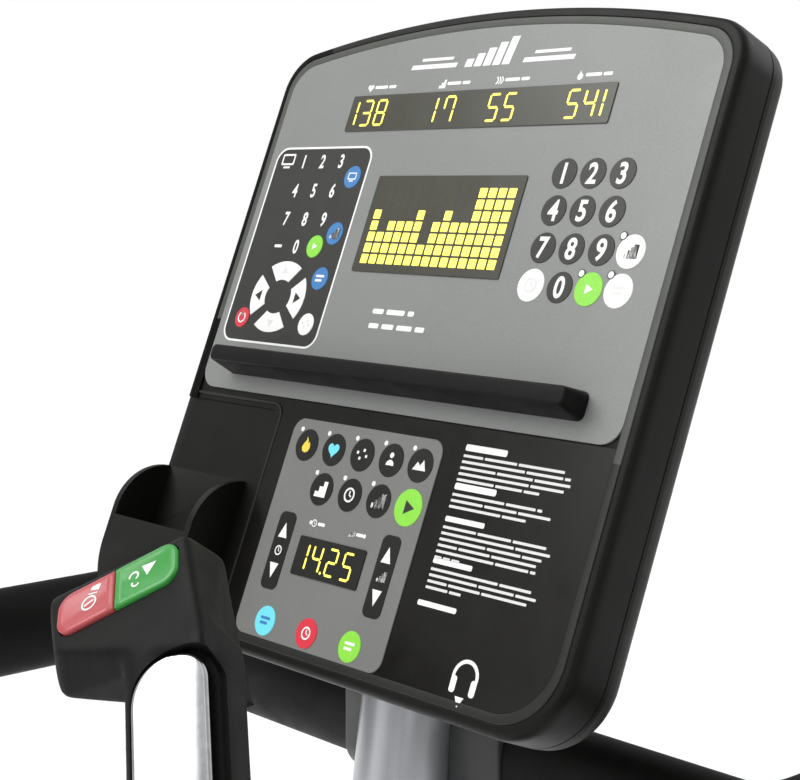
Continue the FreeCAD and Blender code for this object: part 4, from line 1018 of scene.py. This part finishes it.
def sensor_grid(build, left, right, low, high, mat, rounding=0.0):
    """The sensor's curved plate between two heights over the post, its outer rim rounded."""
    levels = [(low, 0.0), (high - rounding, 0.0)]
    if rounding:
        levels += [(high - 0.3 * rounding, 0.25 * rounding), (high, rounding)]
    outline = arch(left, right)
    half, middle = SENSOR_HALF + (left + right) / 2, SENSOR_SHIFT + (right - left) / 2
    rings = []
    for proud, inset in levels:
        rings.append([on_post(a, h, proud) for a, h in (shrink(outline, inset) if inset else outline)])
    # the face is filled by rings drawn in towards its middle line, so that it follows the curve
    for inset in (2, 4, 6, 8, 10, 12, 14):
        scale = 1 - inset / half
        ring = []
        for a, h in outline:
            spine = min(max(h, SENSOR_LOW + 12), SENSOR_HIGH - SENSOR_HALF)
            ring.append(on_post(middle + (a - middle) * scale, spine + (h - spine) * scale, high))
        rings.append(ring)
    build.loft(rings, mat)


def grip_skin():
    post = Build(IN_GRIP)
    top = GRIP_LENGTH + 6
    stations = [(2, 1.0), (24, 1.0), (60, 1.0), (100, 1.0), (140, 1.0)]
    stations += [(top - 12 + 12 * math.sin(t), 0.5 + 0.5 * math.cos(t))
                 for t in (math.radians(15 * k) for k in range(7))]
    rings = []
    for h, s in stations:
        back = GRIP_HALF_DEEP + (POST_BACK - GRIP_HALF_DEEP) * min(1, max(0, (h - 50) / 80))
        deep, wide = (GRIP_HALF_DEEP + back) / 2, (GRIP_HALF_WIDE + POST_LEFT) / 2
        rings.append([(x + GRIP_HALF_DEEP - deep, y + GRIP_HALF_WIDE - wide, z)
                      for x, y, z in squarish(deep * s, wide * s, h, GRIP_POWER)])
    post.loft(rings, SHELL)
    mesh = post.mesh("grip")
    front = [PAD_CENTRE + (Vector(p) - PAD_CENTRE) * HEAD_GROWTH for p in HEAD_FRONT]
    brow = PAD_NORMAL.cross(PAD_ALONG).normalized() * HEAD_BROW
    front[0] += brow
    front[1] += brow
    work = hull(front + [Vector(p) for p in HEAD_BACK])
    behind = [e for e in work.edges
              if min((v.co / MM - PAD_CENTRE).dot(PAD_NORMAL) for v in e.verts) < -BACK_ROUNDING
              and max((v.co / MM - PAD_CENTRE).dot(PAD_NORMAL) for v in e.verts) < -2]
    bmesh.ops.bevel(work, geom=behind, offset=BACK_ROUNDING * MM, segments=3, profile=0.5,
                    affect="EDGES", clamp_overlap=True)
    rest = [e for e in work.edges if e.calc_face_angle(0) > math.radians(20)
            and max((v.co / MM - PAD_CENTRE).dot(PAD_NORMAL) for v in e.verts) > -2]
    bmesh.ops.bevel(work, geom=rest, offset=FRONT_ROUNDING * MM, segments=2, profile=0.5,
                    affect="EDGES", clamp_overlap=True)
    work.from_mesh(mesh)
    work.to_mesh(mesh)
    work.free()
    mesh = applied(mesh, "skin", {"type": "REMESH", "mode": "VOXEL", "voxel_size": 1.5 * MM})
    mesh = applied(mesh, "flow", {"type": "SMOOTH", "factor": 0.5, "iterations": 26})
    for vert in mesh.vertices:
        vert.co.x = min(vert.co.x, RAIL_OUTSIDE * MM)
    groove = Build(IN_GRIP)
    sensor_grid(groove, GROOVE_LEFT, GROOVE_RIGHT, -3.4, 12.0, SHELL)
    mesh = carve(mesh, groove)
    pocket = Build(IN_PAD)
    pocket.prism(rounded(-PAD_HALF - 0.5, PAD_HALF + 0.5, -PAD_WIDE - 0.5, PAD_WIDE + 0.5, PAD_R),
                 -7, 8, SHELL)
    return carve(mesh, pocket)


def mirrored_mesh(mesh):
    copy = mesh.copy()
    copy.transform(Matrix.Scale(-1, 4, (1, 0, 0)))
    copy.flip_normals()
    return copy


def button_cap(low, high, mat):
    """A crowned cap with its outer corners rounded and a shallow dish in its top."""
    if low < -PAD_HALF + 1:
        outline = (arc(high - 0.8, -PAD_WIDE + 0.8, 0.8, -90, 0, 3)
                   + arc(high - 0.8, PAD_WIDE - 0.8, 0.8, 0, 90, 3)
                   + arc(low + PAD_R, PAD_WIDE - PAD_R, PAD_R, 90, 180, 10)
                   + arc(low + PAD_R, -PAD_WIDE + PAD_R, PAD_R, 180, 270, 10))
    else:
        outline = (arc(high - PAD_R, -PAD_WIDE + PAD_R, PAD_R, -90, 0, 10)
                   + arc(high - PAD_R, PAD_WIDE - PAD_R, PAD_R, 0, 90, 10)
                   + arc(low + 0.8, PAD_WIDE - 0.8, 0.8, 90, 180, 3)
                   + arc(low + 0.8, -PAD_WIDE + 0.8, 0.8, 180, 270, 3))
    cap = Build(IN_PAD)
    rings = []
    for inset, z in ((0, -5), (0, 0.7), (0.25, 1.15), (0.8, 1.5), (2.8, 1.75), (3.3, 1.65), (3.9, 1.4)):
        rings.append([(x, y, z) for x, y in (shrink(outline, inset) if inset else outline)])
    cap.loft(rings, mat)
    return cap


def level_marks(cap, top):
    """An arrow head and a small open curl."""
    tip = Vector((17.5, 2.6))
    along, across = Vector((0.88, 0.36)), Vector((-0.36, 0.88))
    arrow = [tip + along * 4.4, tip - along * 2.6 + across * 4.0, tip - along * 2.6 - across * 4.0]
    cap.prism([tuple(p) for p in arrow], top, top + 0.12, WHITE)
    cap.prism(band(arc(9.6, 1.4, 2.3, -60, 190, 14), 0.95), top, top + 0.12, WHITE)
    cap.prism(band(arc(10.6, -3.1, 1.9, 150, 330, 10), 0.95), top, top + 0.12, WHITE)


def stop_marks(cap, top):
    """A bar, a slash and a crossed ring."""
    turn = Matrix.Rotation(math.radians(-24), 2)
    middle = Vector((-14.6, -0.6))

    def at(x, y):
        return tuple(middle + turn @ Vector((x, y)))

    cap.prism([at(-2.4, 7.0), at(2.4, 7.0), at(2.4, 10.2), at(-2.4, 10.2)], top, top + 0.12, WHITE)
    cap.prism(band([at(-2.6, 4.8), at(2.4, 5.6)], 0.6), top, top + 0.12, WHITE)
    hoop = [at(4.1 * math.cos(t), 4.1 * math.sin(t))
            for t in (math.radians(12 * k) for k in range(30))]
    inner = [at(3.2 * math.cos(t), 3.2 * math.sin(t))
             for t in (math.radians(12 * k) for k in range(30))]
    cap.frame(hoop, inner, top, top + 0.12, WHITE)
    cap.prism(band([at(-2.0, -1.6), at(2.0, 1.6)], 0.9), top, top + 0.12, WHITE)


def build_grips():
    skin = grip_skin()
    plate_build = Build(IN_GRIP)
    sensor_grid(plate_build, 0, 0, -2.6, 0.9, MATERIALS["sensor_metal"], 1.6)
    for side, sign in SIDES:
        flip = sign < 0
        body = mirrored_mesh(skin) if flip else skin.copy()
        body.materials.clear()
        body.polygons.foreach_set("material_index", [0] * len(body.polygons))
        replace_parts(finish_object(f"grip_skin_{side}", body, BODY_OF[f"hand_grip_{side}"],
                                  [MATERIALS["soft_black"]], 34), f"hand_grip_{side}")
        plate = plate_build.object(f"pulse_plate_{side}", BODY_OF[f"pulse_sensor_{side}"],
                                   "sensor_metal", 40, flip)
        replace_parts(plate, f"pulse_sensor_{side}")
        for name, slot, low, high, marks in (
                ("level_button", "button_green", PAD_SPLIT + 0.15, PAD_HALF, level_marks),
                ("stop_button", "button_red", -PAD_HALF, PAD_SPLIT - 0.15, stop_marks)):
            node = f"{name}_{side}"
            cap = button_cap(low, high, MATERIALS[slot])
            marks(cap, 1.4)
            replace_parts(cap.object(node + "_cap", BODY_OF[node], slot, 40, flip), node)


build_grips()


# ---------------------------------------------------------------- edges rounded on the plain parts
EDGE_WIDTHS = {
    "reading_shelf": 1.2, "accessory_tray": 1.2, "console_back": 0.8, "console_bracket": 0.8,
    "console_screws": 0.4, "console_board": 0.2, "headphone_jack": 0.3,
    "base_rails": 2.5, "cross_members": 2.5, "drive_plates": 1.0, "bumpers": 1.5,
    "leveling_feet": 0.8, "wheel_axles": 0.4, "mast": 0.6, "mast_boot": 1.5, "rail_end_caps": 1.0,
    "pivot_shafts": 0.6, "input_shaft": 0.6, "shaft_bearings": 0.5,
    "drive_pulley": 0.6, "alternator": 1.0, "alternator_rotor": 0.5, "controller": 1.2,
}
PAIRED_WIDTHS = {
    "transport_wheel": 0.8, "shroud": 1.2, "lever": 1.0, "lever_bushes": 0.3,
    "link": 0.8, "pedal_carrier": 0.8, "pedal": 2.0, "drum": 0.5,
}
for side, sign in SIDES:
    EDGE_WIDTHS.update({f"{name}_{side}": width for name, width in PAIRED_WIDTHS.items()})
# the reading shelf takes the darker copy of the console black that paints the shade under it
for node, width in EDGE_WIDTHS.items():
    softened(node, width, SHELF_PAINTED_SHADE if node == "reading_shelf" else None)

# ---------------------------------------------------------------- handrail, in millimetres
RAIL_WIDE, RAIL_TALL, RAIL_BEND, RAIL_X = 44.0, 70.0, 45.0, 347.0
RAIL_LOW = (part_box("rail_bracket")[0][2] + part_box("rail_bracket")[1][2]) / 2 / MM
RAIL_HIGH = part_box("handrail_right")[1][2] / MM - RAIL_TALL / 2
RAIL_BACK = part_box("handrail_right")[1][1] / MM - RAIL_WIDE / 2
RAIL_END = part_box("handrail_right")[0][1] / MM
RISE_START, RISE_END = 254.0, 336.0


def rail_path():
    """Stations along the right half of the rail: centre, and the direction across it."""
    centre_x, centre_y = RAIL_X - RAIL_BEND, RAIL_BACK - RAIL_BEND
    stations = []
    for x in (39, 80, 120, 160, 200, 235) + tuple(range(250, 302, 6)):
        stations.append((x, RAIL_BACK, 0.0))
    for k in range(19):
        a = math.radians(5 * k)
        stations.append((centre_x + RAIL_BEND * math.sin(a), centre_y + RAIL_BEND * math.cos(a), a))
    for k in range(1, 9):
        stations.append((RAIL_X, centre_y + (RAIL_END - centre_y) * k / 8, math.pi / 2))
    path = []
    for x, y, a in stations:
        t = min(1, max(0, (x - RISE_START) / (RISE_END - RISE_START)))
        z = RAIL_LOW + (RAIL_HIGH - RAIL_LOW) * (1 - math.cos(math.pi * t)) / 2
        path.append((Vector((x, y, z)), Vector((math.sin(a), math.cos(a), 0))))
    return path


def rail_ring(centre, across, wide, tall):
    return [centre + across * x + Vector((0, 0, z))
            for x, z, _ in squarish(wide / 2, tall / 2, 0, 2.15, 48)]


def build_handrail():
    path = rail_path()
    for side, sign in SIDES:
        rail = Build()
        rings = [rail_ring(p, across, RAIL_WIDE, RAIL_TALL) for p, across in path]
        rail.loft(rings, MATERIALS["soft_black"])
        # three shallow ribs mark the free end of the padded length
        for y in (RAIL_END + 14, RAIL_END + 22, RAIL_END + 30):
            ribs = []
            for step, grow in ((-2.4, -1.0), (-1.6, 0.9), (0, 1.3), (1.6, 0.9), (2.4, -1.0)):
                ribs.append(rail_ring(Vector((RAIL_X, y + step, RAIL_HIGH)), Vector((1, 0, 0)),
                                      RAIL_WIDE + grow, RAIL_TALL + grow))
            rail.loft(ribs, MATERIALS["soft_black"])
        piece = rail.object(f"rail_skin_{side}", BODY_OF[f"handrail_{side}"], "soft_black", 40, sign < 0)
        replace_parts(piece, f"handrail_{side}")


build_handrail()


MAST_POINT, MAST_LEAN, MAST_BORE = Vector((0, 421, 1198)), math.radians(8.34), 33.7
CLAMP_HALF_TALL, CLAMP_ROUND = 39, 20
CUTTER_HALF = 90


def build_rail_sleeve():
    """The clamp round the crossbar's middle, hollowed in front for the mast."""
    low, high = (Vector(c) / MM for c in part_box("rail_bracket"))
    sleeve = Build()
    sections = []
    for x, inset in ((low.x, 2.5), (low.x + 0.8, 0.8), (low.x + 2.5, 0), (high.x - 2.5, 0),
                     (high.x - 0.8, 0.8), (high.x, 2.5)):
        outline = rounded(low.y + inset, high.y - inset, RAIL_LOW - CLAMP_HALF_TALL + inset,
                          RAIL_LOW + CLAMP_HALF_TALL - inset, CLAMP_ROUND - inset, 10)
        sections.append([(x, y, z) for y, z in outline])
    sleeve.loft(sections, MATERIALS["black_steel"])
    lean = Vector((0, math.sin(MAST_LEAN), math.cos(MAST_LEAN)))
    hollow = Build()
    hollow.turned([(MAST_BORE, -CUTTER_HALF), (MAST_BORE, CUTTER_HALF)], MATERIALS["black_steel"],
                  MAST_POINT, lean, 72)
    mesh = carve(sleeve.mesh("sleeve"), hollow)
    mesh.materials.clear()
    mesh.polygons.foreach_set("material_index", [0] * len(mesh.polygons))
    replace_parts(finish_object("rail_sleeve", mesh, BODY_OF["rail_bracket"],
                              [MATERIALS[SLOT_OF["rail_bracket"]]], 35), "rail_bracket")


build_rail_sleeve()


# ---------------------------------------------------------------- fastenings and trim, in millimetres
def hexagon(radius, turn=0.0):
    return [(radius * math.cos(math.radians(60 * k + turn)),
             radius * math.sin(math.radians(60 * k + turn))) for k in range(6)]


def along(axis):
    """Turns a build's Z to a machine axis."""
    return Vector(axis).to_track_quat("Z", "Y").to_matrix()


def bolt_head(build, place, axis, radius, mat, tall=None):
    """A washer with a chamfered hexagon head on it."""
    turn = along(axis)
    tall = tall or radius * 0.62
    build.turned([(radius * 1.02, -0.4), (radius * 1.42, -0.4), (radius * 1.46, 0.3),
                  (radius * 1.40, 0.9), (radius * 0.6, 0.95)], mat, place, axis, 32)
    rings = []
    for scale, z in ((1.0, 0.8), (1.0, 0.8 + tall * 0.8), (0.86, 0.8 + tall), (0.5, 0.8 + tall)):
        rings.append([Vector(place) + turn @ Vector((x * scale, y * scale, z))
                      for x, y in hexagon(radius * 1.1)])
    build.loft(rings, mat)


def socket_screw(build, place, axis, radius, mat, dark):
    """A low domed head with a hexagon socket."""
    turn = along(axis)
    build.turned([(radius, -0.4), (radius, 0.5), (radius * 0.92, radius * 0.35),
                  (radius * 0.7, radius * 0.5), (radius * 0.46, radius * 0.54)],
                 mat, place, axis, 28)
    rings = []
    for scale, z in ((0.44, radius * 0.55), (0.44, radius * 0.56), (0.36, radius * 0.30)):
        rings.append([Vector(place) + turn @ Vector((x * scale, y * scale, z))
                      for x, y in hexagon(radius)])
    build.loft(rings, dark)


ZINC, DARK = MATERIALS["zinc_steel"], MATERIALS["black_rubber"]


def build_pedal_treads():
    for side, _ in SIDES:
        node = f"pedal_{side}"
        low, high = (Vector(c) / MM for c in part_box(node))
        floor = low.z + 10
        tread = Build()
        x0, x1 = low.x + 9.5, high.x - 9.5
        y0, y1 = low.y + 4, high.y - 10
        rubber_mat = MATERIALS["black_rubber"]
        tread.prism(rounded(x0, x1, y0, y1, 9, 8), floor - 0.4, floor + 1.8, rubber_mat, 0.8)
        middle = (x0 + x1) / 2
        for k in range(18):
            y = y0 + 16 + k * (y1 - y0 - 32) / 17
            for half in (-1, 1):
                # short ribs in a herringbone
                start, end = (middle + half * 6, y - 4), (middle + half * ((x1 - x0) / 2 - 8), y + 6)
                rib = band([start, end] if half > 0 else [end, start], 4.2)
                tread.prism(rib, floor + 1.6, floor + 4.0, rubber_mat, 1.0)
        for x in (x0 + 12, x1 - 12):
            for y in (y0 + 7, y1 - 7):
                socket_screw(tread, (x, y, floor + 1.7), (0, 0, 1), 4.5, ZINC, DARK)
        tread.object(f"pedal_tread_{side}", BODY_OF[node], "black_rubber", 35)


PIVOT_HEIGHT, LEVER_REACH, LEVER_LIFT, LINK_DROP = 345.0, 540.0, 12.0, 90.0
EYE_RADIUS = 25.0


def build_pivot_bolts():
    """Bolt heads on the pins that join each carrier to its lever and link."""
    for side, sign in SIDES:
        node = f"pedal_carrier_{side}"
        bolts = Build()
        pin_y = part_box(f"lever_{side}")[0][1] / MM + EYE_RADIUS
        pin_z = PIVOT_HEIGHT + LEVER_REACH * math.sin(math.radians(LEVER_LIFT))
        for z in (pin_z, pin_z - LINK_DROP):
            for x, face in ((sign * 145, sign), (sign * 85, -sign)):
                bolt_head(bolts, (x - face * 0.4, pin_y, z), (face, 0, 0), 8.5, ZINC, 4.5)
        bolts.object(f"carrier_bolts_{side}", BODY_OF[node], "zinc_steel", 35)


def build_shroud_trim():
    """Louvres, screws and a kick strip on the outer face of each half of the cover."""
    for side, sign in SIDES:
        node = f"shroud_{side}"
        edge = max(abs(c[0]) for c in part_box(node)) / MM
        trim = Build()
        for k in range(7):
            y0, z = 250 + 4 * k, 470 - 17 * k
            # each louvre is a lip that stands off at its lower edge
            rings = []
            for y, grow in ((y0, 0.2), (y0 + 4, 1.0), (y0 + 186, 1.0), (y0 + 190, 0.2)):
                rings.append([(edge - 0.6, y, z + 5.0), (edge + 0.25, y, z + 5.0),
                              (edge + 4.6 * grow, y, z - 3.4), (edge + 4.4 * grow, y, z - 4.6),
                              (edge + 3.4 * grow, y, z - 4.7), (edge - 0.6, y, z - 1.0)])
            trim.loft(rings, MATERIALS["shroud_grey"])
        trim.object(f"cover_louvres_{side}", BODY_OF[node], "shroud_grey", 30, sign < 0)
        screws = Build()
        for y, z in ((120, 110), (120, 400), (350, 600), (555, 480), (590, 110), (350, 110)):
            socket_screw(screws, (edge - 0.2, y, z), (1, 0, 0), 6.5, ZINC, DARK)
        screws.object(f"cover_screws_{side}", BODY_OF[node], "zinc_steel", 35, sign < 0)
        strip = Build()
        section = [(edge - 0.5, 82), (edge + 2.2, 84), (edge + 3.0, 92), (edge + 2.2, 104),
                   (edge - 0.5, 106)]
        strip.loft([[(x, y, z) for x, z in section] for y in (100, 160, 300, 450, 604)],
                   MATERIALS["console_cover"])
        strip.object(f"kick_strip_{side}", BODY_OF[node], "console_cover", 30, sign < 0)


def build_base_details():
    """Locking nuts on the levelling feet, end plugs in the beams and hub caps on the wheels."""
    parts = Build()
    for x, y in ((310, -600), (240, 600)):
        for sign in (-1, 1):
            rings = [[(x * sign + px * s, y + py * s, z) for px, py in hexagon(12.5)]
                     for s, z in ((0.88, 14.6), (1.0, 15.6), (1.0, 22.0), (0.88, 23.4))]
            parts.loft(rings, ZINC)
    parts.object("foot_nuts", BODY_OF["leveling_feet"], "zinc_steel", 35)
    plugs = Build()
    for side, sign in SIDES:
        rings = []
        for inset, x in ((0.4, 339.5), (0.4, 341.6), (1.4, 342.8), (6.0, 343.4)):
            rings.append([(sign * x, -600 + a, 50 + b)
                          for a, b in rounded(-35 + inset, 35 - inset, -25 + inset, 25 - inset, 4, 5)])
        plugs.loft(rings, MATERIALS["black_rubber"])
    plugs.object("beam_plugs", BODY_OF["cross_members"], "black_rubber", 35)
    for side, sign in SIDES:
        node = f"transport_wheel_{side}"
        low, high = (Vector(c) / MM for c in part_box(node))
        outer = max(abs(low.x), abs(high.x))
        hub = Build()
        centre = (outer - 0.3, (low.y + high.y) / 2, (low.z + high.z) / 2)
        hub.turned([(12, -0.5), (12, 1.2), (11, 2.2), (8, 2.6), (7.4, 2.0)],
                   MATERIALS["console_cover"], centre, (1, 0, 0), 36)
        bolt_head(hub, (outer + 1.4, centre[1], centre[2]), (1, 0, 0), 5.0, ZINC, 3.2)
        hub.object(f"wheel_hub_{side}", BODY_OF[node], "zinc_steel", 35, sign < 0)


def build_bracket_bolts():
    """Cap screws through the rail clamp."""
    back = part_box("rail_bracket")[1][1] / MM
    bolts = Build()
    for x in (-58, 58):
        for z in (RAIL_LOW - 24, RAIL_LOW + 24):
            bolt_head(bolts, (x, back - 0.3, z), (0, 1, 0), 6.5, ZINC, 4.0)
    bolts.object("clamp_bolts", BODY_OF["rail_bracket"], "zinc_steel", 35)


build_pedal_treads()
build_pivot_bolts()
build_shroud_trim()
build_base_details()
build_bracket_bolts()

# ---------------------------------------------------------------- camera, light, floor
camera_data = bpy.data.cameras.new("camera")
camera = bpy.data.objects.new("camera", camera_data)
bpy.context.scene.collection.objects.link(camera)
RIGHT = Vector((0.6693, 0.7430, 0.0))
AWAY = Vector((-0.7375, 0.6643, -0.1219)).normalized()
UP = RIGHT.cross(AWAY).normalized()
axes = Matrix((RIGHT.normalized(), UP, -AWAY)).transposed().to_4x4()
camera.matrix_world = Matrix.Translation(CONSOLE_FOOT + Vector((0.8360, -0.6681, 0.3164))) @ axes
camera_data.sensor_width = 36
camera_data.lens = 76.5
bpy.context.scene.camera = camera


def area_light(name, place, aim, size, power):
    data = bpy.data.lights.new(name, "AREA")
    data.shape = "DISK"
    data.size = size
    data.energy = power
    light = bpy.data.objects.new(name, data)
    light.location = place
    light.rotation_euler = (Vector(aim) - Vector(place)).to_track_quat("-Z", "Y").to_euler()
    bpy.context.scene.collection.objects.link(light)


TARGET = (0, 0.3, 1.3)
area_light("key", (-1.6, -2.4, 3.6), TARGET, 2.2, 16)
area_light("rear", (1.2, 3.2, 3.0), TARGET, 2.4, 22)
sun_data = bpy.data.lights.new("skylight", "SUN")
sun_data.energy = 1.85
sun_data.angle = math.radians(50)
sun = bpy.data.objects.new("skylight", sun_data)
sun.rotation_euler = Vector((0.35, 0.45, -0.82)).to_track_quat("-Z", "Y").to_euler()
bpy.context.scene.collection.objects.link(sun)


def build_world():
    """A white backdrop, and for light and reflections a softer studio with tall bright panels."""
    world = bpy.data.worlds.new("studio")
    bpy.context.scene.world = world
    world.use_nodes = True
    nodes, links = world.node_tree.nodes, world.node_tree.links
    direction = nodes.new("ShaderNodeSeparateXYZ")
    links.new(nodes.new("ShaderNodeTexCoord").outputs["Generated"], direction.inputs[0])
    turn = nodes.new("ShaderNodeMath")
    turn.operation = "ARCTAN2"
    links.new(direction.outputs["Y"], turn.inputs[0])
    links.new(direction.outputs["X"], turn.inputs[1])
    phase = nodes.new("ShaderNodeMath")
    phase.operation = "MULTIPLY_ADD"
    phase.inputs[1].default_value = 5
    phase.inputs[2].default_value = math.radians(300)
    links.new(turn.outputs[0], phase.inputs[0])
    panels = nodes.new("ShaderNodeMath")
    panels.operation = "SINE"
    links.new(phase.outputs[0], panels.inputs[0])
    level = nodes.new("ShaderNodeMapRange")
    for socket, value in (("From Min", -1), ("From Max", 1), ("To Min", 0.36), ("To Max", 0.90)):
        level.inputs[socket].default_value = value
    links.new(panels.outputs[0], level.inputs["Value"])
    links.new(level.outputs["Result"], nodes["Background"].inputs["Strength"])
    backdrop = nodes.new("ShaderNodeBackground")
    seen = nodes.new("ShaderNodeMixShader")
    links.new(nodes.new("ShaderNodeLightPath").outputs["Is Camera Ray"], seen.inputs["Fac"])
    links.new(nodes["Background"].outputs[0], seen.inputs[1])
    links.new(backdrop.outputs[0], seen.inputs[2])
    for background in (nodes["Background"], backdrop):
        background.inputs["Color"].default_value = (1, 1, 1, 1)
    links.new(seen.outputs[0], nodes["World Output"].inputs["Surface"])


build_world()

floor_build = Build()
floor_build.prism(circle(0, 0, 14000, 64), -20, 0, WHITE)
floor_mesh = floor_build.mesh("floor")
floor_paint = Paint("floor_pale")
floor_paint.link(floor_paint.colour((0.95, 0.95, 0.95, 1), 0.003, 0.4), "Base Color")
floor_paint.put("Roughness", 0.7)
floor_mesh.materials.append(floor_paint.mat)
floor = bpy.data.objects.new("floor", floor_mesh)
bpy.context.scene.collection.objects.link(floor)

bpy.context.scene.view_settings.view_transform = "Standard"
bpy.context.scene.cycles.use_denoising = True
